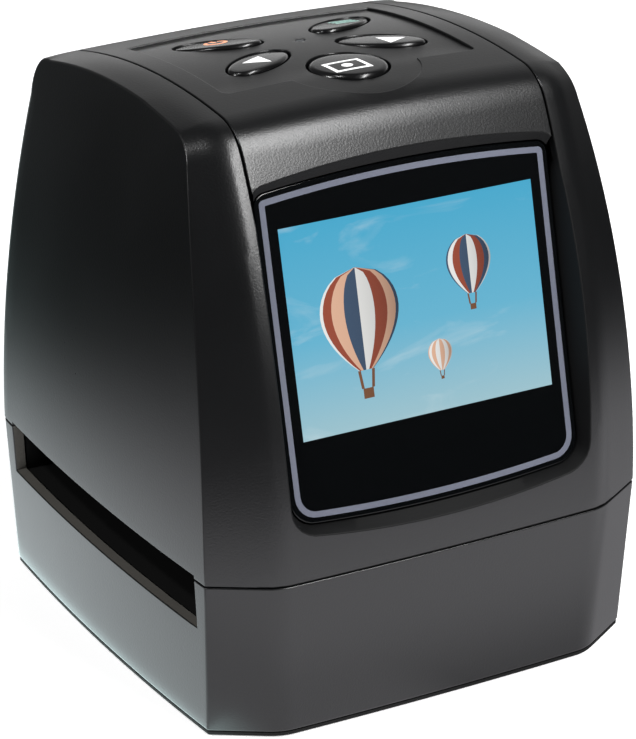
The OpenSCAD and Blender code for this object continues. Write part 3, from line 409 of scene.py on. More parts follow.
class Casing:
    """One housing moulding: an outer skin, rolled rims along its edges, and an inner side."""

    RIM_STEPS = 3
    WALL_STEPS = 3
    JOIN = 0.004
    SHARPEST = 0.6

    def __init__(self) -> None:
        """Starts with an empty mesh that keeps each point's place on the inner side."""
        self.bm = bmesh.new()
        self.inner = self.bm.verts.layers.float_vector.new("inner")
        self.skin = self.bm.faces.layers.int.new("skin")

    def patch(
        self, loops: Sequence[Sequence[Vector]], wished: np.ndarray, clear: float, place: Placer,
    ) -> list[list[BMVert]]:
        """Fills a flat region with triangles and puts it in place.

        Args:
            loops: The region's outer loop, then its holes.
            wished: Points wished for between the loops, one a row.
            clear: How far those points stay away from the loops.
            place: Gives the outer and inner place of a flat point.

        Returns:
            The mesh's points along each loop, in its order.
        """
        paths = [np.array([tuple(p) for p in loop]) for loop in loops]
        keep = in_region(wished, paths)
        for path in paths:
            keep &= distances(wished, path) > clear
        flat = [Vector(p) for path in paths for p in path] + [Vector(p) for p in wished[keep]]
        edges, start = [], 0
        for path in paths:
            n = len(path)
            edges += [(start + k, start + (k + 1) % n) for k in range(n)]
            start += n
        points, _, faces, origin, _, _ = delaunay_2d_cdt(flat, edges, [], 1, 1e-6)
        middles = np.array([tuple(sum((points[i] for i in f), Vector((0, 0))) / 3) for f in faces])
        verts = []
        for p in points:
            outer, inner = place(p.x, p.y)
            vert = self.bm.verts.new(outer)
            vert[self.inner] = inner
            verts.append(vert)
        for f, wish in zip(faces, in_region(middles, paths)):
            if wish:
                self.bm.faces.new([verts[i] for i in f])[self.skin] = 1
        where = {source: k for k, sources in enumerate(origin) for source in sources}
        found, start = [], 0
        for path in paths:
            found.append([verts[where[start + k]] for k in range(len(path))])
            start += len(path)
        return found

    def sweep(
        self, chain: Sequence[BMVert], paths: Sequence[Sequence[Vector]], closed: bool = True,
        skin: bool = False,
    ) -> list[BMVert]:
        """Extrudes a chain of edges so that each point follows its own path.

        Args:
            chain: The mesh's points along the chain.
            paths: The places that each point goes through, as many for each.
            closed: Whether the chain is a loop.
            skin: Whether the new faces belong to the outer skin.

        Returns:
            The chain's last row of points.
        """
        current = list(chain)
        for step in range(len(paths[0])):
            following = current[1:] + current[:1] if closed else current[1:]
            edges = [self.bm.edges.get(pair) for pair in zip(current, following)]
            current = extrude_row(self.bm, current, edges, [path[step] for path in paths])
            for vert in current:
                for face in vert.link_faces:
                    face[self.skin] = int(skin)
        return current

    def rim_paths(self, loop: Sequence[BMVert], radius: float, depth: float) -> list[list[Vector]]:
        """Paths that roll each point of an edge over and down a wall to the inner side.

        Args:
            loop: The mesh's points along the edge.
            radius: Radius of the rolled edge.
            depth: Depth of the wall behind it.

        Returns:
            One path for each point.
        """
        self.bm.normal_update()
        turns = [math.pi / 2 * (i + 1) / self.RIM_STEPS for i in range(self.RIM_STEPS)]
        drops = [radius + (depth - radius) * (i + 1) / self.WALL_STEPS for i in range(self.WALL_STEPS)]
        made = []
        for k, vert in enumerate(loop):
            n = vert.normal
            outs = []
            for a, b in ((loop[k - 1], vert), (vert, loop[(k + 1) % len(loop)])):
                face = self.bm.edges.get((a, b)).link_faces[0]
                out = (b.co - a.co).normalized().cross(n).normalized()
                inwards = face.calc_center_median() - (a.co + b.co) / 2
                outs.append(-out if out.dot(inwards) > 0 else out)
            out = (outs[0] + outs[1]) / max(1 + outs[0].dot(outs[1]), self.SHARPEST)
            path = [vert.co + out * (radius * math.sin(a)) - n * (radius * (1 - math.cos(a))) for a in turns]
            path += [vert.co + out * radius - n * d for d in drops]
            made.append(path + [vert[self.inner].copy()])
        return made

    def roll(self, loop: Sequence[BMVert], radius: float, depth: float) -> None:
        """Rolls an edge over and walls it down to the inner side."""
        self.sweep(loop, self.rim_paths(loop, radius, depth))

    def edge_loops(self) -> list[list[BMVert]]:
        """The points of each loop of edges that have one face, in order."""
        left = {e for e in self.bm.edges if len(e.link_faces) == 1}
        loops = []
        while left:
            edge = left.pop()
            loop = [edge.verts[0], edge.verts[1]]
            while True:
                following = next((e for e in loop[-1].link_edges if e in left), None)
                if following is None:
                    break
                left.discard(following)
                loop.append(following.other_vert(loop[-1]))
            loops.append(loop[:-1] if loop[0] == loop[-1] else loop)
        return loops

    def face_out(self) -> None:
        """Turns the first patch's faces so that the top ones look up."""
        self.bm.normal_update()
        top = max(self.bm.faces, key=lambda f: f.calc_center_median().z)
        if top.normal.z < 0:
            bmesh.ops.reverse_faces(self.bm, faces=self.bm.faces)

    def merge(self) -> None:
        """Joins patches along the edges that they share and turns the skin's faces outwards."""
        bmesh.ops.remove_doubles(self.bm, verts=self.bm.verts, dist=self.JOIN)
        bmesh.ops.recalc_face_normals(self.bm, faces=self.bm.faces)
        middle = sum((v.co for v in self.bm.verts), Vector()) / len(self.bm.verts)
        middle.z -= 20
        skin = [f for f in self.bm.faces if f[self.skin]]
        if sum((f.calc_center_median() - middle).dot(f.normal) * f.calc_area() for f in skin) < 0:
            bmesh.ops.reverse_faces(self.bm, faces=self.bm.faces)

    def close(self) -> BMesh:
        """Adds the inner side, which makes the moulding a closed body, and gives its mesh."""
        skin = [f for f in self.bm.faces if f[self.skin]]
        made = bmesh.ops.duplicate(self.bm, geom=skin)["geom"]
        for item in made:
            if isinstance(item, BMVert):
                item.co = item[self.inner]
        bmesh.ops.reverse_faces(self.bm, faces=[item for item in made if isinstance(item, BMFace)])
        bmesh.ops.remove_doubles(self.bm, verts=self.bm.verts, dist=self.JOIN / 4)
        bmesh.ops.dissolve_degenerate(self.bm, edges=self.bm.edges, dist=self.JOIN / 8)
        bmesh.ops.recalc_face_normals(self.bm, faces=self.bm.faces)
        self.bm.verts.layers.float_vector.remove(self.inner)
        return self.bm


def loop_of(bm: BMesh, points: Iterable[Vector]) -> list[BMVert]:
    """Adds a closed loop of edges through points."""
    verts = [bm.verts.new(p) for p in points]
    for pair in zip(verts, verts[1:] + verts[:1]):
        bm.edges.new(pair)
    return verts


def row_edges(bm: BMesh, row: Sequence[BMVert]) -> list[BMEdge]:
    """The edges of a closed row of points."""
    return [bm.edges.get(pair) for pair in zip(row, [*row[1:], row[0]])]


def extrude_row(
    bm: BMesh, row: Sequence[BMVert], edges: Sequence[BMEdge], places: Sequence[Vector],
) -> list[BMVert]:
    """Extrudes a row of edges.

    Args:
        bm: The mesh.
        row: The points along the row.
        edges: The edges between them.
        places: Where the row's new points lie.

    Returns:
        The new points.
    """
    made = bmesh.ops.extrude_edge_only(bm, edges=edges)["geom"]
    fresh = {item for item in made if isinstance(item, BMVert)}
    following = []
    for vert, point in zip(row, places):
        twin = next(e.other_vert(vert) for e in vert.link_edges if e.other_vert(vert) in fresh)
        twin.co = point
        following.append(twin)
    return following


def build_rings(bm: BMesh, rings: Sequence[Sequence[Vector]]) -> tuple[list[BMVert], list[BMVert]]:
    """Joins closed rings of points with faces, and gives the mesh's first and last ring."""
    first = chain = loop_of(bm, rings[0])
    for ring in rings[1:]:
        chain = extrude_row(bm, chain, row_edges(bm, chain), ring)
    return first, chain


def thicken(bm: BMesh, shift: Vector) -> None:
    """Gives a sheet a thickness by pushing a copy of its faces away."""
    made = bmesh.ops.extrude_face_region(bm, geom=bm.faces[:])["geom"]
    for item in made:
        if isinstance(item, BMVert):
            item.co += shift
    bmesh.ops.recalc_face_normals(bm, faces=bm.faces)


# ---------- shader nodes ----------
def add_node(
    tree: NodeTree, kind: str, settings: dict[str, Any] | None = None,
    inputs: dict[str | int, Any] | None = None,
) -> Node:
    """Adds a node to a material, a group or the world.

    Args:
        tree: The nodes that it joins.
        kind: The node's type.
        settings: The node's own settings.
        inputs: Values of its inputs, each a number, a colour or another node's output.

    Returns:
        The node.
    """
    node = tree.nodes.new(kind)
    for name, value in (settings or {}).items():
        setattr(node, name, value)
    for name, value in (inputs or {}).items():
        if isinstance(value, NodeSocket):
            tree.links.new(value, node.inputs[name])
        else:
            node.inputs[name].default_value = value
    return node


def calculate(tree: NodeTree, operation: str, *values: float | NodeSocket) -> NodeSocket:
    """Result of the Math node's operation on numbers and outputs."""
    return add_node(tree, "ShaderNodeMath", {"operation": operation}, dict(enumerate(values))).outputs[0]


def soften(tree: NodeTree, value: NodeSocket, span: Pair, start: float, end: float) -> NodeSocket:
    """Number that goes softly from start to end while a value rises through a span."""
    limits = {"From Min": span[0], "From Max": span[1], "To Min": start, "To Max": end}
    settings = {"interpolation_type": "SMOOTHSTEP"}
    return add_node(tree, "ShaderNodeMapRange", settings, {"Value": value, **limits}).outputs[0]


def new_group(name: str, inputs: dict[str, float], outputs: dict[str, str]) -> tuple[NodeTree, Node, Node]:
    """Starts a shader node group.

    Args:
        name: The group's name.
        inputs: Its number inputs and their usual values.
        outputs: Its outputs and their types.

    Returns:
        The group, the node that gives its inputs and the node that takes its outputs.
    """
    group = bpy.data.node_groups.new(name, "ShaderNodeTree")
    for label, value in inputs.items():
        socket = group.interface.new_socket(label, in_out="INPUT", socket_type="NodeSocketFloat")
        socket.default_value = value
    for label, kind in outputs.items():
        group.interface.new_socket(label, in_out="OUTPUT", socket_type=f"NodeSocket{kind}")
    return group, group.nodes.new("NodeGroupInput"), group.nodes.new("NodeGroupOutput")


def new_material(name: str) -> tuple[Material, Node]:
    """Starts a material and gives it with its shader."""
    made = bpy.data.materials.new(name)
    made.use_nodes = True
    return made, made.node_tree.nodes["Principled BSDF"]


# ---------- finishes ----------
@cache
def moulded_grain() -> NodeTree:
    """Fine pebbled grain of a moulded surface, with faint changes in shade and gloss; made once."""
    group, given, result = new_group(
        "moulded_grain",
        {"Pebble": 2600.0, "Depth": 0.2, "Shade": 0.1, "Gloss": 0.4, "Gloss change": 0.05},
        {"Tone": "Float", "Roughness": "Float", "Normal": "Vector"},
    )
    where = add_node(group, "ShaderNodeTexCoord").outputs["Object"]
    fine = {"Vector": where, "Scale": given.outputs["Pebble"], "Detail": 1.0}
    wide = {"Vector": where, "Scale": 55.0, "Detail": 2.0}
    pebble = add_node(group, "ShaderNodeTexNoise", inputs=fine).outputs["Fac"]
    cloud = add_node(group, "ShaderNodeTexNoise", inputs=wide).outputs["Fac"]
    relief = {"Strength": given.outputs["Depth"], "Distance": 0.0001, "Height": pebble}
    bump = add_node(group, "ShaderNodeBump", inputs=relief).outputs[0]
    centred = calculate(group, "SUBTRACT", calculate(group, "ADD", cloud, pebble), 1.0)
    tone = calculate(group, "MULTIPLY_ADD", centred, given.outputs["Shade"], 1.0)
    rough = calculate(group, "MULTIPLY_ADD", centred, given.outputs["Gloss change"], given.outputs["Gloss"])
    for label, source in (("Tone", tone), ("Roughness", rough), ("Normal", bump)):
        group.links.new(source, result.inputs[label])
    return group


@dataclass(frozen=True)
class Finish:
    """A moulded, metal or printed surface with fine grain, and with a painted glow where glow is set."""

    name: str
    colour: Colour
    roughness: float = 0.4
    metallic: float = 0.0
    pebble: float = 2600.0
    depth: float = 0.2
    shade: float = 0.1
    gloss_change: float = 0.06
    specular: float = 0.5
    # Emission strength; on the printed signs it is a painted glow that makes the ink brighter than the lamps
    # light it.
    glow: float = 0.0

    @cache
    def material(self) -> Material:
        """Makes the finish's material, once."""
        made, shader = new_material(self.name)
        tree = made.node_tree
        values = {
            "Pebble": self.pebble, "Depth": self.depth, "Shade": self.shade, "Gloss": self.roughness,
            "Gloss change": self.gloss_change,
        }
        grain = add_node(tree, "ShaderNodeGroup", {"node_tree": moulded_grain()}, values)
        tint = add_node(
            tree, "ShaderNodeMix", {"data_type": "RGBA", "blend_type": "MULTIPLY"},
            {0: 1.0, 6: (*self.colour, 1.0), 7: grain.outputs["Tone"]},
        )
        tree.links.new(tint.outputs[2], shader.inputs["Base Color"])
        tree.links.new(grain.outputs["Roughness"], shader.inputs["Roughness"])
        tree.links.new(grain.outputs["Normal"], shader.inputs["Normal"])
        shader.inputs["Metallic"].default_value = self.metallic
        shader.inputs["Specular IOR Level"].default_value = self.specular
        # Painted glow: emission in the finish's own colour, used on the printed signs.
        if self.glow:
            shader.inputs["Emission Color"].default_value = (*self.colour, 1.0)
            shader.inputs["Emission Strength"].default_value = self.glow
        return made


SHELL = Finish(
    "satin_housing", (0.0045, 0.0047, 0.0051), roughness=0.3, pebble=3000.0, shade=0.4, gloss_change=0.05,
)
# The slot's ledge: a much lighter copy of the housing's black plastic, a painted sheen for the light that the
# ledge catches.
LIP_PAINTED_SHEEN = Finish("slot_lip_painted_sheen", (0.12, 0.114, 0.102), roughness=0.6, pebble=2400.0, shade=0.3)
RECESS = Finish("matt_recess", (0.004, 0.0041, 0.0043), roughness=0.6, pebble=2400.0, specular=0.2)
INNER = Finish("matt_inside", (0.006, 0.006, 0.006), roughness=0.75, specular=0.2)
WINDOW = Finish(
    "black_window", (0.002, 0.0023, 0.0026), roughness=0.06, pebble=300.0, depth=0.0, gloss_change=0.01,
    specular=0.3,
)
BUTTON = Finish(
    "glossy_key", (0.005, 0.005, 0.0053), roughness=0.23, pebble=3000.0, depth=0.03, gloss_change=0.03,
)
# Printed signs' inks: print colours with a painted glow that makes them brighter than the lamps light them.
GLOWING_PRINT_WHITE = Finish("print_white_painted_glow", (0.86, 0.86, 0.86), roughness=0.45, depth=0.05, shade=0.03, glow=0.6)
GLOWING_PRINT_ORANGE = Finish("print_orange_painted_glow", (0.80, 0.32, 0.17), roughness=0.45, depth=0.05, shade=0.03, glow=0.8)
GLOWING_PRINT_GREEN = Finish("print_green_painted_glow", (0.29, 0.52, 0.46), roughness=0.45, depth=0.05, shade=0.03, glow=0.55)
PRINT_OUTLINE = Finish(
    "print_outline", (0.115, 0.124, 0.163), roughness=0.35, pebble=4000.0, depth=0.05, shade=0.25,
)
RUBBER = Finish("soft_rubber", (0.014, 0.014, 0.014), roughness=0.75, pebble=1800.0, depth=0.35)
STEEL = Finish(
    "plated_steel", (0.55, 0.56, 0.57), roughness=0.3, metallic=1.0, pebble=900.0, depth=0.05, shade=0.15,
)
BOARD = Finish("lacquered_board", (0.02, 0.13, 0.06), roughness=0.35, pebble=500.0, depth=0.1, shade=0.3)
CHIP = Finish("moulded_chip", (0.02, 0.02, 0.022), roughness=0.5)
WHITE_BOX = Finish("white_moulding", (0.78, 0.79, 0.79), roughness=0.5, shade=0.05)
SENSOR = Finish("sensor_glass", (0.12, 0.17, 0.21), roughness=0.15, depth=0.02)
LED = Finish("led_resin", (0.8, 0.72, 0.42), roughness=0.25, shade=0.2)
CAN = Finish("bright_can", (0.6, 0.61, 0.63), roughness=0.25, metallic=1.0, depth=0.05)
YELLOW = Finish("yellow_moulding", (0.62, 0.40, 0.03), roughness=0.3, depth=0.08)
AMBER = Finish("amber_film", (0.45, 0.2, 0.03), roughness=0.3, shade=0.25)
SWITCH = Finish("switch_moulding", (0.03, 0.03, 0.033), roughness=0.45)
ACETAL = Finish("white_acetal", (0.75, 0.73, 0.68), shade=0.05)
CLEAR = Finish("clear_pipe", (0.05, 0.055, 0.06), roughness=0.1, depth=0.02)
GLASS = Finish("coated_lens", (0.03, 0.05, 0.06), roughness=0.04, depth=0.01)
BARREL = Finish("black_barrel", (0.015, 0.015, 0.015), roughness=0.45)

SLOT_FINISHES = {
    "shell_plastic": SHELL, "inner_plastic": INNER, "foot_rubber": RUBBER, "screw_steel": STEEL,
    "spring_steel": STEEL, "bracket_steel": STEEL, "diffuser_white": WHITE_BOX, "box_white": WHITE_BOX,
    "board_green": BOARD, "chip_black": CHIP, "sensor_face": SENSOR, "led_lens": LED, "can_metal": CAN,
    "port_metal": CAN, "jack_plastic": YELLOW, "window_black": WINDOW, "picture_glass": WINDOW,
    "ribbon_amber": AMBER, "switch_black": SWITCH, "plunger_white": ACETAL, "button_gloss": BUTTON,
    "pipe_clear": CLEAR, "lens_glass": GLASS, "barrel_black": BARREL,
}


def lit_glass(name: str) -> tuple[Material, Node]:
    """Starts the material of a lit picture behind clear glass and gives it with its shader."""
    made, shader = new_material(name)
    shader.inputs["Base Color"].default_value = (0.01, 0.01, 0.01, 1)
    shader.inputs["Roughness"].default_value = 0.08
    shader.inputs["Emission Strength"].default_value = 1.0
    return made, shader


@dataclass(frozen=True)
class PictureSky:
    """Lit sky: deep blue above, pale towards the lower edge, with thin clouds."""

    centre: tuple[float, float, float]
    tilt: float
    half_height: float = 17.9
    low: Colour = (0.33, 0.53, 0.60)
    middle: Colour = (0.125, 0.44, 0.62)
    middle_at: float = 0.45
    high: Colour = (0.056, 0.38, 0.59)
    cloud: Colour = (0.62, 0.72, 0.76)
    cloud_scale: tuple[float, float, float] = (45, 140, 1)
    cloud_from: float = 0.54
    cloud_to: float = 0.8
    cloud_most: float = 0.5

    def material(self) -> Material:
        """Makes the sky's material."""
        made, shader = lit_glass("picture_sky")
        tree = made.node_tree
        where = add_node(tree, "ShaderNodeTexCoord").outputs["Object"]
        flat = add_node(
            tree, "ShaderNodeMapping", {"vector_type": "TEXTURE"},
            {"Vector": where, "Location": self.centre, "Rotation": (math.radians(90 - self.tilt), 0, 0)},
        ).outputs[0]
        level = add_node(tree, "ShaderNodeSeparateXYZ", inputs={0: flat}).outputs["Y"]
        reach = self.half_height * MM
        limits = {"From Min": -reach, "From Max": reach}
        height = add_node(tree, "ShaderNodeMapRange", inputs={"Value": level, **limits})
        sky = add_node(tree, "ShaderNodeValToRGB", inputs={"Fac": height.outputs[0]})
        ramp = sky.color_ramp
        ramp.elements[0].color = (*self.low, 1)
        ramp.elements[1].color = (*self.high, 1)
        ramp.elements.new(self.middle_at).color = (*self.middle, 1)
        stretched = add_node(tree, "ShaderNodeMapping", inputs={"Vector": flat, "Scale": self.cloud_scale})
        noise = {"Vector": stretched.outputs[0], "Scale": 1.0, "Detail": 6.0, "Distortion": 1.2}
        streaks = add_node(tree, "ShaderNodeTexNoise", inputs=noise).outputs["Fac"]
        limits = {"From Min": self.cloud_from, "From Max": self.cloud_to, "To Max": self.cloud_most}
        wisps = add_node(tree, "ShaderNodeMapRange", inputs={"Value": streaks, **limits})
        mixed = add_node(
            tree, "ShaderNodeMix", {"data_type": "RGBA"},
            {0: wisps.outputs[0], 6: sky.outputs[0], 7: (*self.cloud, 1)},
        )
        tree.links.new(mixed.outputs[2], shader.inputs["Emission Color"])
        return made


@dataclass(frozen=True)
class PictureInk:
    """Lit ink that takes its colour from a piece's tint."""

    name: str = "picture_ink"

    @cache
    def material(self) -> Material:
        """Makes the ink's material, once."""
        made, shader = lit_glass(self.name)
        tint = add_node(made.node_tree, "ShaderNodeAttribute", {"attribute_name": "tint"})
        made.node_tree.links.new(tint.outputs["Color"], shader.inputs["Emission Color"])
        return made


Surface = Finish | PictureSky | PictureInk


# ---------- pieces ----------
@dataclass(frozen=True)
class Place:
    """What a finished piece belongs to: its body and the CAD nodes that it stands for, with a material slot's
    name that is kept but not applied.
    """

    body: str = "root"
    slot: str = "shell_plastic"
    nodes: tuple[str, ...] = ()


def finish_piece(
    bm: BMesh, name: str, finish: Surface, place: Place, sharp: float = 40.0, more: Sequence[Surface] = (),
) -> bpy.types.Object:
    """Turns a mesh in millimetres into a dressed piece of the scanner.

    Args:
        bm: The mesh, which is freed.
        name: The piece's name.
        finish: Its surface.
        place: Its body, slot and the nodes that it stands for.
        sharp: Edges that turn further than this many degrees stay sharp.
        more: Finishes for the faces whose material index is 1 and up.

    Returns:
        The piece.
    """
    bmesh.ops.scale(bm, vec=(MM, MM, MM), verts=bm.verts)
    mesh = bpy.data.meshes.new(name)
    bm.to_mesh(mesh)
    bm.free()
    mesh.polygons.foreach_set("use_smooth", [True] * len(mesh.polygons))
    mesh.set_sharp_from_angle(angle=math.radians(sharp))
    piece = bpy.data.objects.new(name, mesh)
    bpy.context.scene.collection.objects.link(piece)
    for surface in (finish, *more):
        mesh.materials.append(surface.material())
    even = piece.modifiers.new("even_light", "WEIGHTED_NORMAL")
    even.keep_sharp = True
    even.weight = 50
    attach(piece, place.body)
    if place.nodes:
        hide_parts(*place.nodes)
    LOG.info("%s: %d faces, on %s", name, len(mesh.polygons), place.body)
    return piece


# ---------- screen ----------
@dataclass(frozen=True)
class RimShape:
    """Outline with an arched top and bottom, in the screen's own plane."""

    half_w: float
    top: float
    low: float
    top_r: float
    low_r: float
    top_arc: float = 246.0
    low_arc: float = 263.0
    corner_steps: int = 6
    arch_steps: int = 30
    side_steps: int = 22

    def turned(self, x: float, y: float, radius: float, start: float) -> list[Vector]:
        """Points round a corner, its end left out."""
        angles = [math.radians(start + 90 * k / self.corner_steps) for k in range(self.corner_steps)]
        return [Vector((x + radius * math.cos(a), y + radius * math.sin(a))) for a in angles]

    def points(self) -> list[Vector]:
        """Points round the outline, against the clock from the top right corner."""
        top_x, low_x = self.half_w - self.top_r, self.half_w - self.low_r
        top_y = self.top - sagitta(top_x, self.top_arc) - self.top_r
        low_y = self.low + sagitta(low_x, self.low_arc) + self.low_r
        over = spread(top_x, -top_x, 2 * top_x / self.arch_steps)
        under = spread(-low_x, low_x, 2 * low_x / self.arch_steps)
        arch = [Vector((x, self.top - sagitta(x, self.top_arc))) for x in over]
        sag = [Vector((x, self.low + sagitta(x, self.low_arc))) for x in under]
        step = (top_y - low_y) / self.side_steps
        down = [Vector((-self.half_w, y)) for y in spread(top_y, low_y, step)]
        up = [Vector((self.half_w, y)) for y in spread(low_y, top_y, step)]
        return [
            *self.turned(top_x, top_y, self.top_r, 0), *arch,
            *self.turned(-top_x, top_y, self.top_r, 90), *down,
            *self.turned(-low_x, low_y, self.low_r, 180), *sag,
            *self.turned(low_x, low_y, self.low_r, 270), *up,
        ]


@dataclass(frozen=True)
class OpeningPoint:
    """A point of the recess's edge, and the places behind it down to the window's pocket."""

    flat: Vector
    edge: Vector
    below: tuple[Vector, ...]


@dataclass(frozen=True)
class Screen:
    """The tilted screen: window, recess, printed outline and lit picture."""

    outline: Outline
    middle_y: float = -34.2
    middle_z: float = 70.1
    tilt: float = 13.2
    half_w: float = 27.9
    top: float = 25.5
    low: float = -33.0
    top_r: float = 2.2
    low_r: float = 4.6
    thick: float = 1.2
    bevel: float = 0.3
    gap: float = 0.25
    recess: float = 9.0
    rim_r: float = 0.2
    pocket_wide: float = 1.6
    pocket_deep: float = 0.3
    line_outside: RimShape = RimShape(26.95, 24.5, -31.95, 0.9, 4.0)
    line_inside: RimShape = RimShape(25.92, 23.47, -30.92, 0.3, 3.0)
    picture_w: float = 48.2
    picture_h: float = 35.8
    print_proud: float = 0.02

    def at(self, u: float, v: float, h: float = 0.0) -> Vector:
        """Place of a point given in the screen's plane, h out of it."""
        a = math.radians(90 - self.tilt)
        y = self.middle_y + v * math.cos(a) - h * math.sin(a)
        return Vector((u, y, self.middle_z + v * math.sin(a) + h * math.cos(a)))

    def ring(self, shape: RimShape, height: float) -> list[Vector]:
        """Places of an outline's points at a height over the screen's plane."""
        return [self.at(p.x, p.y, height) for p in shape.points()]

    def dull_recess(self, bm: BMesh, skin: BMLayerItem) -> None:
        """Gives the faces of the recess's wall a moulding's second finish."""
        out = self.at(0, 0, 1) - self.at(0, 0)
        for face in bm.faces:
            flat = face.calc_center_median() - self.at(0, 0)
            if not face[skin] and flat.dot(out) > -self.thick and abs(flat.x) < self.half_w + self.recess:
                face.material_index = 1

    def window_rim(self, grow: float) -> RimShape:
        """The window's outline, grown outwards."""
        return RimShape(
            self.half_w + grow, self.top + grow, self.low - grow, self.top_r + grow, self.low_r + grow,
        )

    @property
    def mouth(self) -> RimShape:
        """The recess's outline at a recess's depth before the window, where it has flared out."""
        half_w = self.half_w + self.gap + 0.33 * self.recess
        top, low = 26 + 1.75 * self.recess, -33.2 - self.recess
        return RimShape(half_w, top, low, top_r=3.6, low_r=7, top_arc=62, low_arc=78)

    def reach(self, start: Vector, end: Vector) -> tuple[Vector, float]:
        """Place where a line from the window outwards comes through the housing's surface.

        Args:
            start: The line's start beside the window.
            end: Its end before the housing.

        Returns:
            The place, and its distance along the side view.
        """
        front = self.outline.arcs[0].length + self.outline.arcs[1].length
        low, high = 0.0, 1.0
        for _ in range(20):
            t = (low + high) / 2
            p = start.lerp(end, t)
            s = self.outline.solve_s(p.x, 0, front, p.z, 2)
            if p.y > self.outline.wrap(p.x, s).y:
                low = t
            else:
                high = t
        p = start.lerp(end, low)
        return p, self.outline.solve_s(p.x, 0, front, p.z, 2)

    @cached_property
    def opening(self) -> list[OpeningPoint]:
        """The recess's edge on the housing's surface, with the places behind it."""
        near = self.window_rim(self.gap).points()
        deep = self.window_rim(self.gap + self.pocket_wide).points()
        pocket = -self.thick - self.pocket_deep
        made = []
        for a, b, c in zip(near, self.mouth.points(), deep):
            start = self.at(a.x, a.y)
            p, s = self.reach(start, self.at(b.x, b.y, self.recess))
            below = (start, self.at(a.x, a.y, pocket), self.at(c.x, c.y, pocket))
            made.append(OpeningPoint(Vector((p.x, s)), self.outline.wrap(p.x, s), below))
        return made

    def drawn_back(self) -> list[tuple[Vector, OpeningPoint]]:
        """The points of the recess's edge, each drawn back by the rim's radius and as it is."""
        n = len(self.opening)
        made = []
        for k, point in enumerate(self.opening):
            along = (self.opening[(k + 1) % n].flat - self.opening[k - 1].flat).normalized()
            made.append((point.flat + Vector((along.y, -along.x)) * self.rim_r, point))
        return made

    def rim_path(self, start: Vector, point: OpeningPoint, inner: Vector) -> list[Vector]:
        """Path from the skin round the recess's edge, down its wall and behind the window."""
        down = (point.below[0] - point.edge).normalized()
        rolled = curve_points(start, point.edge, point.edge + down * self.rim_r, Casing.RIM_STEPS)
        return [*rolled, *point.below, inner]

    def build(self) -> None:
        """Makes the window with its printed outline and its picture."""
        self.build_window()
        self.build_line()
        self.build_picture()

    def build_window(self) -> None:
        """Makes the window, with a bevel in front and one behind."""
        foot, soft = 0.6, 0.09
        rows = [
            (-foot, -self.thick), (0, self.bevel - self.thick), (0, -self.bevel), (-soft, -soft),
            (-self.bevel, 0.0),
        ]
        bm = bmesh.new()
        back, front = build_rings(bm, [self.ring(self.window_rim(grow), height) for grow, height in rows])
        bm.faces.new(front)
        bm.faces.new(list(reversed(back)))
        bmesh.ops.recalc_face_normals(bm, faces=bm.faces)
        finish_piece(bm, "screen_glass", WINDOW, Place(slot="window_black", nodes=("screen_window",)))

    def build_line(self) -> None:
        """Makes the printed line round the screen."""
        bm = bmesh.new()
        proud = self.print_proud
        rows = [
            (self.line_outside, -proud), (self.line_outside, proud), (self.line_inside, proud),
            (self.line_inside, -proud),
        ]
        first, last = build_rings(bm, [self.ring(shape, height) for shape, height in rows])
        bmesh.ops.bridge_loops(bm, edges=row_edges(bm, first) + row_edges(bm, last))
        bmesh.ops.recalc_face_normals(bm, faces=bm.faces)
        finish_piece(bm, "screen_outline", PRINT_OUTLINE, Place(slot="window_black"))

    def build_picture(self) -> None:
        """Makes the lit picture: a sky with soft clouds, and the balloons on it."""
        bm = bmesh.new()
        bmesh.ops.create_grid(bm, x_segments=12, y_segments=9, size=0.5)
        for vert in bm.verts:
            vert.co = self.at(vert.co.x * self.picture_w, vert.co.y * self.picture_h, self.print_proud)
        thicken(bm, self.at(0, 0, -2 * self.print_proud) - self.at(0, 0))
        sky = PictureSky(tuple(self.at(0, 0) * MM), self.tilt)
        finish_piece(bm, "lit_picture", sky, Place(slot="picture_glass"))
        for balloon in BALLOONS:
            balloon.build(self)


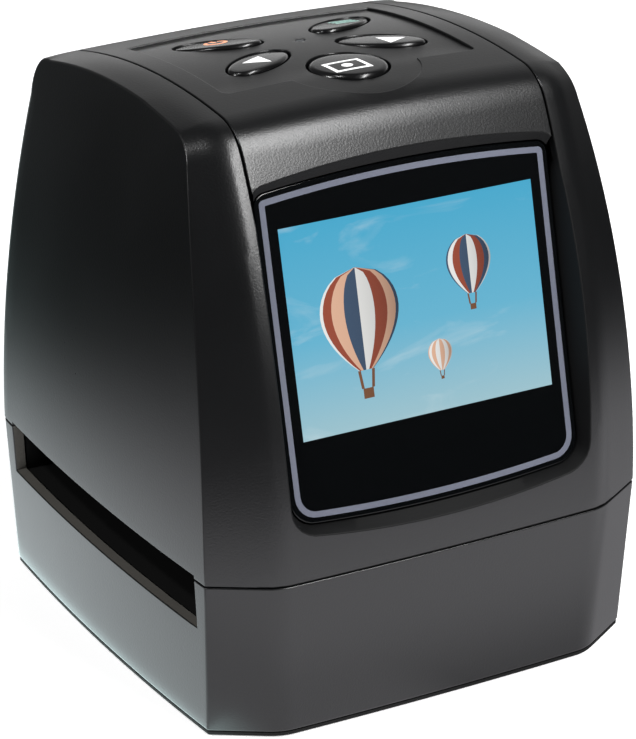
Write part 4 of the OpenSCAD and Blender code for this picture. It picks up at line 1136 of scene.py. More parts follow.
@dataclass(frozen=True)
class Balloon:
    """A hot-air balloon in the lit picture: its envelope's middle in the screen's plane, and its size."""

    name: str
    middle: Pair
    radius: float
    colours: tuple[Colour, ...]
    gores: int = 8
    steps: int = 16
    tall: float = 2.35
    widest: float = 0.42
    narrowing: float = 0.82
    narrowing_power: float = 1.9
    rope_share: float = 0.42
    rope_w: float = 0.035
    basket_share: float = 0.13
    basket_tall: float = 1.8
    basket: Colour = (0.22, 0.09, 0.04)
    proud: float = 0.035
    thick: float = 0.03

    def half_width(self, t: float) -> float:
        """Half width of the envelope at a share of its height, from the top down."""
        crown = math.sqrt(max(1 - (1 - min(t, self.widest) / self.widest) ** 2, 0))
        below = max(t - self.widest, 0) / (1 - self.widest)
        return self.radius * crown * (1 - self.narrowing * below**self.narrowing_power)

    def patch(self, bm: BMesh, corners: Sequence[Pair], colour: Colour) -> None:
        """Adds one coloured shape, shaded from left to right.

        Args:
            bm: The balloon's mesh.
            corners: The shape's corners in the screen's plane.
            colour: Its colour.
        """
        face = bm.faces.new([bm.verts.new((x, y, 0)) for x, y in corners])
        tint = bm.loops.layers.float_color["tint"]
        for loop in face.loops:
            side = (loop.vert.co.x - self.middle[0]) / self.radius
            shade = 0.78 - 0.24 * side - 0.12 * side * side
            loop[tint] = (*(c * shade for c in colour), 1.0)

    def build_envelope(self, bm: BMesh) -> None:
        """Adds the envelope's gores to the balloon's mesh.

        Args:
            bm: The mesh.
        """
        x, y = self.middle
        top, height = y + self.radius, self.tall * self.radius
        for k in range(self.gores):
            left, right = (math.sin(math.pi * (share / self.gores - 0.5)) for share in (k, k + 1))
            for step in range(self.steps):
                t0, t1 = step / self.steps, (step + 1) / self.steps
                w0, w1 = self.half_width(t0), self.half_width(t1)
                y0, y1 = top - height * t0, top - height * t1
                corners = [(left * w0, y0), (left * w1, y1), (right * w1, y1), (right * w0, y0)]
                corners = [(x + u, v) for u, v in (corners if step else corners[:3])]
                self.patch(bm, corners, self.colours[k % len(self.colours)])

    def build_basket(self, bm: BMesh) -> None:
        """Adds the basket and its two ropes to the balloon's mesh.

        Args:
            bm: The mesh.
        """
        x, low = self.middle[0], self.middle[1] + self.radius * (1 - self.tall)
        foot = low - self.rope_share * self.radius
        half, line = self.basket_share * self.radius, self.rope_w * self.radius
        for sign in (-1, 1):
            top, end = x + sign * self.half_width(1.0), x + sign * half
            rope = [(top - line, low), (end - line, foot), (end + line, foot), (top + line, low)]
            self.patch(bm, rope, self.basket)
        under = foot - self.basket_tall * half
        corners = [(x - half, foot), (x - half, under), (x + half, under), (x + half, foot)]
        self.patch(bm, corners, self.basket)

    def build(self, screen: Screen) -> None:
        """Makes the balloon as a thin print on a screen's picture.

        Args:
            screen: The screen.
        """
        bm = bmesh.new()
        bm.loops.layers.float_color.new("tint")
        self.build_envelope(bm)
        self.build_basket(bm)
        bmesh.ops.remove_doubles(bm, verts=bm.verts, dist=0.001)
        for vert in bm.verts:
            vert.co = screen.at(vert.co.x, vert.co.y, self.proud)
        thicken(bm, screen.at(0, 0) - screen.at(0, 0, self.thick))
        finish_piece(bm, self.name, PictureInk(), Place(slot="picture_glass"))


WHITE, PEACH = (0.88, 0.88, 0.86), (0.80, 0.48, 0.33)
BRICK, DENIM = (0.34, 0.07, 0.035), (0.05, 0.09, 0.16)
BALLOONS = (
    Balloon("picture_balloon_near", (-11.0, 1.8), 7.4, (WHITE, BRICK, PEACH, DENIM)),
    Balloon("picture_balloon_middle", (10.5, 6.6), 4.3, (DENIM, WHITE, BRICK)),
    Balloon("picture_balloon_far", (3.2, -8.0), 2.3, (PEACH, WHITE)),
)


# ---------- housing ----------
@dataclass(frozen=True)
class Ports:
    """Holes in the back for the card slot, the small socket and the video jack.

    A socket is given as its middle's x and z, half its width and half its height.
    """

    sockets: tuple[tuple[float, ...], ...] = ((-13.0, 42.45, 12.75, 1.5), (14.0, 42.55, 4.2, 2.3))
    corner_r: float = 0.5
    corner_steps: int = 4
    side_step: float = 2.2
    jack_at: Pair = (27.0, 43.8)
    jack_r: float = 3.25
    jack_steps: int = 36

    def socket_hole(self, x: float, z: float, half_w: float, half_h: float, r: float) -> list[Vector]:
        """Edge of a socket's hole as seen from the front.

        Args:
            x: The middle's place from side to side.
            z: The middle's height.
            half_w: Half the hole's width.
            half_h: Half its height.
            r: Radius of its corners.

        Returns:
            The edge's points, as x and z.
        """
        signs = ((1, 1), (-1, 1), (-1, -1), (1, -1))
        middles = [Vector((x + sx * (half_w - r), z + sz * (half_h - r))) for sx, sz in signs]
        loop = []
        for k, middle in enumerate(middles):
            turns = [math.pi / 2 * (k + i / self.corner_steps) for i in range(self.corner_steps + 1)]
            arc = [middle + Vector((math.cos(a), math.sin(a))) * r for a in turns]
            side = middles[(k + 1) % 4] - middle
            shares = spread(0.0, 1.0, self.side_step / side.length)
            loop += arc[:-1] + [arc[-1] + side * share for share in shares]
        return loop

    def holes(self, outline: Outline, grow: float) -> list[list[Vector]]:
        """Edges of the holes on the housing's flattened surface.

        Args:
            outline: The housing's outline.
            grow: How far the holes are grown outwards.

        Returns:
            One edge for each hole.
        """
        made = [
            self.socket_hole(x, z, half_w + grow, half_h + grow, self.corner_r + grow)
            for x, z, half_w, half_h in self.sockets
        ]
        made.append(ellipse(self.jack_at, self.jack_r + grow, self.jack_r + grow, 0, self.jack_steps))
        return [[Vector((p.x, outline.rear_s(p.y))) for p in loop] for loop in made]


@dataclass(frozen=True)
class Housing:
    """The three mouldings: base, upper shell and top cover."""

    outline: Outline
    screen: Screen
    wall: float = 2.0
    rim_stop: float = 0.3
    seam_gap: float = 0.3
    rim_r: float = 0.2
    cover_hw: float = 28.7
    cover_rear_z: float = 91.0
    slot_front: float = -33.6
    slot_rear: float = 38.2
    slot_low: float = 20.6
    slot_high: float = 30.5
    slot_in_x: float = 35.0
    lip_in_x: float = 38.0
    lip_below: float = 1.0
    lip_above: float = 8.0
    spacing: float = 2.4
    roll_spacing: float = 0.9
    kink_from: float = 28.8
    kink_to: float = 35.2
    kink_spacing: float = 0.8
    outer_to: float = 46.0
    outer_spacing: float = 2.2
    side_y: Pair = (-44.0, 46.0)
    side_z: Pair = (30.0, 106.0)
    edge_clear: float = 1.1
    side_clear: float = 1.3
    row_clear: float = 0.8

    @property
    def rim_depth(self) -> float:
        """Depth of the wall behind a rolled edge."""
        return self.wall - self.rim_stop

    @cached_property
    def stations(self) -> list[float]:
        """Places along the side view, closer where it rolls over."""
        low = self.outline.seam_z + self.seam_gap / 2 + self.rim_r
        marks, along = [self.outline.front_s(low)], 0.0
        for arc in self.outline.arcs[:-1]:
            along += arc.length
            marks.append(along)
        marks.append(self.outline.rear_s(low))
        steps = (self.spacing, self.roll_spacing, self.spacing, self.roll_spacing, self.spacing)
        return [s for a, b, step in zip(marks, marks[1:], steps) for s in spread(a, b, step)] + marks[-1:]

    @cached_property
    def columns(self) -> list[float]:
        """Places from side to side, closer at the soft kinks."""
        half = spread(0, self.kink_from, self.spacing)
        half += spread(self.kink_from, self.kink_to, self.kink_spacing)
        half += spread(self.kink_to, self.outer_to, self.outer_spacing)
        return [-x for x in reversed(half[1:])] + half

    @property
    def grid(self) -> np.ndarray:
        """Points wished for on the wrap-round surface."""
        return np.array([(x, s) for s in self.stations for x in self.columns])

    def wrap_place(self, x: float, s: float) -> tuple[Vector, Vector]:
        """Outer and inner place of a point of the wrap-round surface."""
        return self.outline.wrap(x, s), self.outline.wrap(x, s, self.wall)

    def rows_between(self, low: float, high: float) -> list[float]:
        """The stations between two places along the side view, clear of both."""
        return [s for s in self.stations if low + self.row_clear < s < high - self.row_clear]

    def cut(self, limit: float, arch: bool) -> list[tuple[Vector, OpeningPoint]]:
        """Part of the recess's edge, cut at a distance from the middle.

        Args:
            limit: The distance from the middle.
            arch: Whether it is the part over the arch, and not the rest.

        Returns:
            The part's points, each drawn back and as it is.
        """
        edge = self.screen.drawn_back()
        n = len(edge)
        top = max(range(n), key=lambda k: edge[k][0].y)
        order = [edge[(top + k) % n] for k in range(n + 1)]
        left = next(k for k, (flat, _) in enumerate(order) if flat.x < -limit)
        right = next(k for k in reversed(range(n + 1)) if order[k][0].x > limit)
        first = self.cut_point(order[left - 1], order[left], limit)
        last = self.cut_point(order[right], order[right + 1], limit)
        if arch:
            return [last, *order[right + 1 : n], *order[:left], first]
        return [first, *order[left : right + 1], last]

    @staticmethod
    def cut_point(
        a: tuple[Vector, OpeningPoint], b: tuple[Vector, OpeningPoint], limit: float,
    ) -> tuple[Vector, OpeningPoint]:
        """Point of the recess's edge between two others, at a distance from the middle."""
        t = (limit - abs(a[0].x)) / (abs(b[0].x) - abs(a[0].x))
        below = tuple(p.lerp(q, t) for p, q in zip(a[1].below, b[1].below))
        point = OpeningPoint(a[1].flat.lerp(b[1].flat, t), a[1].edge.lerp(b[1].edge, t), below)
        return a[0].lerp(b[0], t), point

    def seam(self, arch: bool) -> tuple[list[Vector], list[OpeningPoint]]:
        """One side of the seam between top cover and upper shell, closed along the recess's edge.

        Args:
            arch: Whether it is the cover's side, which follows the recess over its arch.

        Returns:
            The seam's points, and the points of the recess that come first in it.
        """
        sign = -1 if arch else 1
        off = sign * (self.seam_gap / 2 + self.rim_r)
        seam_x = self.cover_hw + off
        back_s = self.outline.rear_s(self.cover_rear_z - off)
        recess = self.cut(seam_x, arch)
        near, far = sign * seam_x, -sign * seam_x
        made = [flat for flat, _ in recess]
        made += [Vector((near, s)) for s in self.rows_between(recess[-1][0].y, back_s)]
        made += [Vector((x, back_s)) for x in [*spread(near, far, self.spacing), far]]
        made += [Vector((far, s)) for s in reversed(self.rows_between(recess[0][0].y, back_s))]
        return made, [point for _, point in recess]

    def roll_seam(self, casing: Casing, loop: Sequence[BMVert], recess: Sequence[OpeningPoint]) -> None:
        """Rolls a seam's edge over, and walls the recess where the seam follows it first."""
        paths = casing.rim_paths(loop, self.rim_r, self.rim_depth)
        for k, (vert, point) in enumerate(zip(loop, recess)):
            paths[k] = self.screen.rim_path(vert.co, point, vert[casing.inner].copy())
        casing.sweep(loop, paths)

    def build(self) -> None:
        """Makes the mouldings."""
        self.build_upper()
        self.build_cover()
        self.build_base()

    def build_upper(self) -> None:
        """Makes the upper shell: both sides, the front's surround, and the back."""
        casing = Casing()
        corners = [self.outline.corner(s, self.wall) for s in self.stations]
        right = [Vector((start, s)) for (start, _, _), s in zip(corners, self.stations)]
        left = [Vector((-p.x, p.y)) for p in reversed(right)]
        front_x, back_x = right[0].x, right[-1].x
        front = [Vector((x, self.stations[0])) for x in spread(-front_x, front_x, self.spacing)[1:]]
        back = [Vector((x, self.stations[-1])) for x in spread(back_x, -back_x, self.spacing)[1:]]
        seam, recess = self.seam(arch=False)
        flat = [right + back + left + front, seam, *Ports().holes(self.outline, self.rim_r)]
        edge, hole, *ports = casing.patch(flat, self.grid, self.edge_clear, self.wrap_place)
        turn, end = len(right) + len(back), 2 * len(right) + len(back)
        self.add_side(casing, edge[: len(right)], corners, Side.RIGHT)
        self.add_side(casing, edge[turn:end][::-1], corners, Side.LEFT)
        casing.face_out()
        self.roll_seam(casing, hole, recess)
        for loop in ports:
            casing.roll(loop, self.rim_r, self.rim_depth)
        casing.merge()
        foot = min(casing.edge_loops(), key=lambda loop: min(v.co.z for v in loop))
        casing.roll(foot, self.rim_r, self.rim_depth)
        self.screen.dull_recess(casing.bm, casing.skin)
        finish_piece(casing.close(), "upper_casing", SHELL, Place(nodes=("upper_shell",)), more=(RECESS,))

    def add_side(
        self, casing: Casing, chain: Sequence[BMVert], corners: Sequence[tuple[float, list[Vector], Vector]],
        side: Side,
    ) -> None:
        """Adds one side of the upper shell and the rounded edge that leads to it.

        Args:
            casing: The moulding.
            chain: The mesh's points along the wrap-round surface's edge, from front to back.
            corners: The rounded edge on the right at each of them.
            side: The side to make.
        """
        flip = Vector((side.value, 1, 1))
        for vert, (_, _, inner) in zip(chain, corners):
            vert[casing.inner] = inner * flip
        rounding = [[p * flip for p in points] for _, points, _ in corners]
        casing.sweep(chain, rounding, closed=False, skin=True)
        self.side_patch(casing, [points[-1] for _, points, _ in corners], [c[2] for c in corners], side)

    def side_patch(
        self, casing: Casing, edge: Sequence[Vector], inner_edge: Sequence[Vector], side: Side,
    ) -> None:
        """Fills one side of the upper shell, with the film slot's notch in its lower edge.

        Args:
            casing: The moulding.
            edge: The side's rounded edge on the right, from front to back.
            inner_edge: The inner corners behind it.
            side: The side to make.
        """
        low, high = edge[0].z, self.slot_high + self.rim_r
        rear, front = self.slot_rear + self.rim_r, self.slot_front - self.rim_r
        lower = [Vector((y, low)) for y in [*spread(edge[-1].y, rear, self.spacing)[1:], rear]]
        lower += [Vector((y, high)) for y in [*spread(rear, front, self.spacing), front]]
        lower += [Vector((y, low)) for y in spread(front, edge[0].y, self.spacing)]

        def place(y: float, z: float) -> tuple[Vector, Vector]:
            """Outer and inner place of a point of the side."""
            x = self.outline.upper_side_x(y, z)
            return Vector((side.value * x, y, z)), Vector((side.value * (x - self.wall), y, z))

        rows = np.arange(*self.side_z, self.spacing)
        wished = np.array([(y, z) for y in np.arange(*self.side_y, self.spacing) for z in rows])
        outer = [Vector((p.y, p.z)) for p in edge] + lower
        (loop,) = casing.patch([outer], wished, self.side_clear, place)
        flip = Vector((side.value, 1, 1))
        for vert, p, inner in zip(loop, edge, inner_edge):
            vert.co = p * flip
            vert[casing.inner] = inner * flip

    def build_cover(self) -> None:
        """Makes the top cover with its sunken field for the buttons."""
        casing = Casing()
        deck = Deck(self.outline, self.wall)
        edge = deck.edge(0.0)
        brink = [Vector((p.x, self.outline.top_s(p.x, p.y))) for p in deck.edge(deck.rim_r)]
        seam, recess = self.seam(arch=True)
        outer, step = casing.patch([seam, brink], self.grid, self.edge_clear, self.wrap_place)
        for vert, p in zip(step, edge):
            vert[casing.inner] = deck.place(p.x, p.y)[1]
        casing.face_out()
        casing.sweep(step, [deck.step_path(vert.co, p.x, p.y) for vert, p in zip(step, edge)], skin=True)
        self.roll_seam(casing, outer, recess)
        _, *holes = casing.patch([edge, *deck.holes()], deck.grid, deck.edge_clear, deck.place)
        casing.merge()
        for loop in holes:
            casing.roll(loop, deck.hole_r, self.wall - deck.depth - deck.hole_stop)
        self.screen.dull_recess(casing.bm, casing.skin)
        finish_piece(casing.close(), "top_casing", SHELL, Place(nodes=("top_cover",)), more=(RECESS,))

    def build_base(self) -> None:
        """Makes the base with the film slot's notches."""
        base = BaseRings(self.outline, self)
        casing = Casing()
        rows = base.rows()
        chain = loop_of(casing.bm, base.level(*rows[0]))
        for z, inset in rows:
            if z > rows[0][0]:
                chain = casing.sweep(chain, [[p] for p in base.level(z, inset)], skin=True)
            for vert, p in zip(chain, base.level(z, base.wall)):
                vert[casing.inner] = p
        self.cut_notches(casing.bm)
        casing.merge()
        loops = sorted(casing.edge_loops(), key=lambda loop: sum(v.co.z for v in loop) / len(loop))
        casing.sweep(loops[0], [[v[casing.inner].copy()] for v in loops[0]])
        casing.roll(loops[-1], self.rim_r, base.wall - base.rim_stop)
        # Painted sheen: the ledge under the film slot gets the lighter copy of the black plastic.
        self.paint_lip_sheen(casing)
        finish_piece(casing.close(), "base_casing", SHELL, Place(nodes=("base_shell",)), more=(LIP_PAINTED_SHEEN,))
        base.build_plate_edge()

    def cut_notches(self, bm: BMesh) -> None:
        """Cuts the film slot out of the sides of the base's mesh.

        Args:
            bm: The mesh.
        """
        front, rear = self.slot_front - self.rim_r, self.slot_rear + self.rim_r
        low = self.slot_low - self.rim_r
        notch = []
        for face in bm.faces:
            c = face.calc_center_median()
            if abs(c.x) > self.slot_in_x and front < c.y < rear and c.z > low:
                notch.append(face)
        bmesh.ops.delete(bm, geom=notch, context="FACES")

    def paint_lip_sheen(self, casing: Casing) -> None:
        """Gives the wall under the film slot the base's second finish, a lighter copy of the black plastic that
        paints the sheen of the light the ledge catches.
        """
        low, high = self.slot_low - self.lip_below, self.slot_low + self.lip_above
        for face in casing.bm.faces:
            c = face.calc_center_median()
            deep = self.outline.side_x(c.y, c.z) - abs(c.x) > self.rim_r
            if not face[casing.skin] and deep and abs(c.x) > self.lip_in_x and low < c.z < high:
                face.material_index = 1


@dataclass(frozen=True)
class BaseRings:
    """Plan sections of the base, and the bottom plate's edge under them."""

    outline: Outline
    housing: Housing
    wall: float = 2.2
    rim_stop: float = 0.2
    edge_r: float = 0.6
    edge_steps: int = 4
    row_step: float = 3.0
    spacing: float = 2.4
    middle_x: float = 1.2
    kink_from: float = 27.5
    kink_to: float = 35.5
    kink_spacing: float = 0.8
    outer_to: float = 39.0
    outer_spacing: float = 1.8
    corner_share: float = 0.7
    corner_steps: int = 4
    rear_steps: int = 7
    rear_parts: int = 16
    rear_least_r: float = 0.5
    plate_low: float = 0.25
    plate_in: float = 0.15
    plate_r: float = 0.2
    plate_deep: float = 0.9

    def rows(self) -> list[Pair]:
        """Heights and insets of the sections, from the rounded lower edge up."""
        low = self.outline.base_low_z
        turns = [math.pi / 2 * k / self.edge_steps for k in range(self.edge_steps)]
        made = [(low + self.edge_r * (1 - math.cos(a)), self.edge_r * (1 - math.sin(a))) for a in turns]
        top = self.outline.seam_z - self.housing.seam_gap / 2 - self.housing.rim_r
        slot = self.housing.slot_low - self.housing.rim_r
        heights = spread(low + self.edge_r, slot, self.row_step) + spread(slot, top, self.row_step) + [top]
        return made + [(z, 0.0) for z in heights]

    def front_y(self, x: float, z: float, inset: float) -> float:
        """Front of a plan section at a place from side to side, drawn in by inset."""
        o = self.outline
        kink = o.kink_x - o.base_kink_taper * o.base_part(z)
        bow = o.front_bow * (x / o.kink_x) ** 2
        start = o.front_y + o.base_front_taper * o.base_part(z) + inset
        return start + bow + math.tan(math.radians(o.front_facet)) * soft_ramp(abs(x) - kink, o.kink_blend)

    def front_corner(self, z: float, inset: float) -> list[Vector]:
        """Rounded corner between the front's facet and the right side.

        Args:
            z: The section's height.
            inset: How far it is drawn in.

        Returns:
            The corner's points, from the front round to the side.
        """
        o = self.outline
        x = o.body_w / 2
        for _ in range(8):
            x = self.side_x(self.front_y(x, z, inset), z, inset)
        corner = Vector((x, self.front_y(x, z, inset)))
        run = o.edge_r * self.corner_share if inset <= self.edge_r else 0.0
        start = Vector((x - run, self.front_y(x - run, z, inset)))
        end = Vector((self.side_x(corner.y + run, z, inset), corner.y + run))
        return [start, *curve_points(start, corner, end, self.corner_steps)]

    def side_x(self, y: float, z: float, inset: float) -> float:
        """Half width of a plan section, which at the seam still follows the base."""
        return self.outline.side_x(y, min(z, self.outline.seam_z - 1e-6)) - inset

    def half(self, z: float, inset: float) -> list[Vector]:
        """Right half of a plan section.

        Args:
            z: The section's height.
            inset: How far it is drawn in.

        Returns:
            Its points, from the front's middle to the back's middle.
        """
        o, h = self.outline, self.housing
        xs = spread(self.middle_x, self.kink_from, self.spacing)
        xs += spread(self.kink_from, self.kink_to, self.kink_spacing)
        xs += spread(self.kink_to, self.outer_to, self.outer_spacing)
        corner = self.front_corner(z, inset)
        points = [Vector((x, self.front_y(x, z, inset))) for x in xs] + corner
        rear = o.rear_y - o.base_rear_taper * o.base_part(z) - inset
        r = o.rear_corner_r - min(inset, o.rear_corner_r - self.rear_least_r)
        front, back = h.slot_front - h.rim_r, h.slot_rear + h.rim_r
        ys = [(corner[-1].y + front) / 2, *spread(front, back, self.spacing), back, (back + rear - r) / 2]
        points += [Vector((self.side_x(y, z, inset), y)) for y in ys]
        x, y = self.side_x(rear - r, z, inset) - r, rear - r
        turns = [math.pi / 2 * k / self.rear_steps for k in range(self.rear_steps + 1)]
        points += [Vector((x + r * math.cos(a), y + r * math.sin(a))) for a in turns]
        xs = [*spread(x, self.middle_x, x / self.rear_parts)[1:], self.middle_x]
        return points + [Vector((x, rear)) for x in xs]

    def level(self, z: float, inset: float, height: float | None = None) -> list[Vector]:
        """A whole plan section, put at its own height or at another one."""
        half = self.half(z, inset)
        whole = half + [Vector((-p.x, p.y)) for p in reversed(half)]
        return [Vector((*p, z if height is None else height)) for p in whole]

    def build_plate_edge(self) -> None:
        """Makes the dark moulded edge of the bottom plate, under the base's rounded foot."""
        low, high = self.plate_low, self.outline.base_low_z
        rows = [
            (low, self.plate_in + self.plate_r), (low + self.plate_r, self.plate_in), (high, self.plate_in),
            (high, self.plate_deep), (low, self.plate_deep),
        ]
        bm = bmesh.new()
        first, last = build_rings(bm, [self.level(high, inset, z) for z, inset in rows])
        bmesh.ops.bridge_loops(bm, edges=row_edges(bm, first) + row_edges(bm, last))
        bmesh.ops.recalc_face_normals(bm, faces=bm.faces)
        finish_piece(bm, "bottom_plate_edge", INNER, Place(slot="inner_plastic"))


# ---------- button field ----------
CLUSTER_X = 0.5


@dataclass(frozen=True)
class Key:
    """A push button: its hole's middle, half axes, turn, rise over the field and tilt."""

    name: str
    middle: Pair
    a: float
    b: float
    turn: float
    rise: float
    tilt: float


def make_keys() -> list[Key]:
    """The five push buttons, four leaves that fan round the middle and the round scan button."""
    fan_y, rear, front = 8.3, (12.05, 16.0), (11.95, 0.7)
    leaves = (
        ("power", rear, Side.LEFT), ("menu", rear, Side.RIGHT),
        ("up", front, Side.LEFT), ("down", front, Side.RIGHT),
    )
    keys = []
    for name, (x, y), side in leaves:
        turn = side.value * math.degrees(math.atan2(y - fan_y, x))
        keys.append(Key(name, (CLUSTER_X + side.value * x, y), a=8.1, b=4.45, turn=turn, rise=0.3, tilt=0.08))
    return [*keys, Key("scan", (CLUSTER_X, -9.3), a=7.7, b=7.1, turn=90.0, rise=0.65, tilt=0.09)]


KEYS = make_keys()


@dataclass(frozen=True)
class Deck:
    """The shallow field that holds the buttons."""

    outline: Outline
    wall: float
    depth: float = 0.5
    front_depth: float = 0.15
    deep_y: float = -7.0
    flat_y: float = -14.0
    half_w: float = 24.1
    front_y: float = -11.8
    rear_y: float = 26.5
    rear_sag: float = 0.8
    left_r: float = 1.8
    left_turns: tuple[float, ...] = (0.0, 0.39, 0.79, 1.18)
    right_r: float = 1.2
    right_turns: tuple[float, ...] = (0.0, 0.52, 1.05)
    bay_hw: float = 12.2
    bay_y: float = -9.4
    bay_r: float = 12.8
    bay_steps: int = 24
    led_at: Pair = (0.9, 8.8)
    led_r: float = 0.95
    led_play: float = 0.1
    rim_r: float = 0.22
    rim_most: float = 0.8
    hole_r: float = 0.15
    hole_stop: float = 0.1
    spacing: float = 1.6
    edge_clear: float = 0.9
    grid_x: Pair = (-24.0, 25.0)
    grid_y: Pair = (-22.0, 28.0)
    grid_step: float = 1.9

    def depth_at(self, y: float) -> float:
        """Depth of the field, which fades towards its front bay."""
        share = min(max((y - self.flat_y) / (self.deep_y - self.flat_y), 0.0), 1.0)
        return self.front_depth + (self.depth - self.front_depth) * share * share * (3 - 2 * share)

    def place(self, x: float, y: float) -> tuple[Vector, Vector]:
        """Outer and inner place of a point of the field's floor."""
        s = self.outline.top_s(x, y)
        return self.outline.wrap(x, s, self.depth_at(y)), self.outline.wrap(x, s, self.wall)

    def step_path(self, start: Vector, x: float, y: float) -> list[Vector]:
        """Path from the cover's surface over the field's rounded edge at a place, down to its floor."""
        top = self.outline.wrap(x, self.outline.top_s(x, y))
        floor = self.place(x, y)[0]
        rolled = top.lerp(floor, min(self.rim_r / self.depth_at(y), self.rim_most))
        return [*curve_points(start, top, rolled, Casing.RIM_STEPS), floor]

    def edge(self, grow: float) -> list[Vector]:
        """The field's edge, with its round bay in front.

        Args:
            grow: How far the edge is grown outwards.

        Returns:
            The edge's points, against the clock from the right rear corner.
        """
        hw, front, rear = self.half_w + grow, self.front_y - grow, self.rear_y + grow
        r, q = self.left_r, self.right_r
        xs = spread(hw, -hw, self.spacing)
        points = [Vector((x, rear + self.rear_sag * (1 - (x / hw) ** 2))) for x in xs]
        points += [Vector((-hw, y)) for y in spread(rear, front + r, self.spacing)]
        points += [Vector((r * (1 - math.cos(a)) - hw, front + r * (1 - math.sin(a)))) for a in self.left_turns]
        a, b = self.bay_hw + grow, self.bay_r + grow
        start = math.asin((self.bay_y - front) / b)
        sweep = (math.pi - 2 * start) / self.bay_steps
        turns = [math.pi + start + sweep * k for k in range(self.bay_steps + 1)]
        bay = [Vector((CLUSTER_X + a * math.cos(t), self.bay_y + b * math.sin(t))) for t in turns]
        points += [Vector((x, front)) for x in spread(r - hw, bay[0].x, self.spacing)] + bay
        points += [Vector((x, front)) for x in spread(bay[-1].x, hw - q, self.spacing)[1:]]
        points += [Vector((hw - q * (1 - math.sin(a)), front + q * (1 - math.cos(a)))) for a in self.right_turns]
        return points + [Vector((hw, y)) for y in spread(front + q, rear, self.spacing)]

    def holes(self) -> list[list[Vector]]:
        """Edges of the button holes and of the indicator's hole, drawn back by their rims."""
        made = [ellipse(k.middle, k.a + self.hole_r, k.b + self.hole_r, k.turn, 56) for k in KEYS]
        return [*made, ellipse(self.led_at, self.led_r + self.led_play, self.led_r + self.led_play, 0, 20)]

    @property
    def grid(self) -> np.ndarray:
        """Points wished for on the field's floor."""
        ys = np.arange(*self.grid_y, self.grid_step)
        return np.array([(x, y) for x in np.arange(*self.grid_x, self.grid_step) for y in ys])


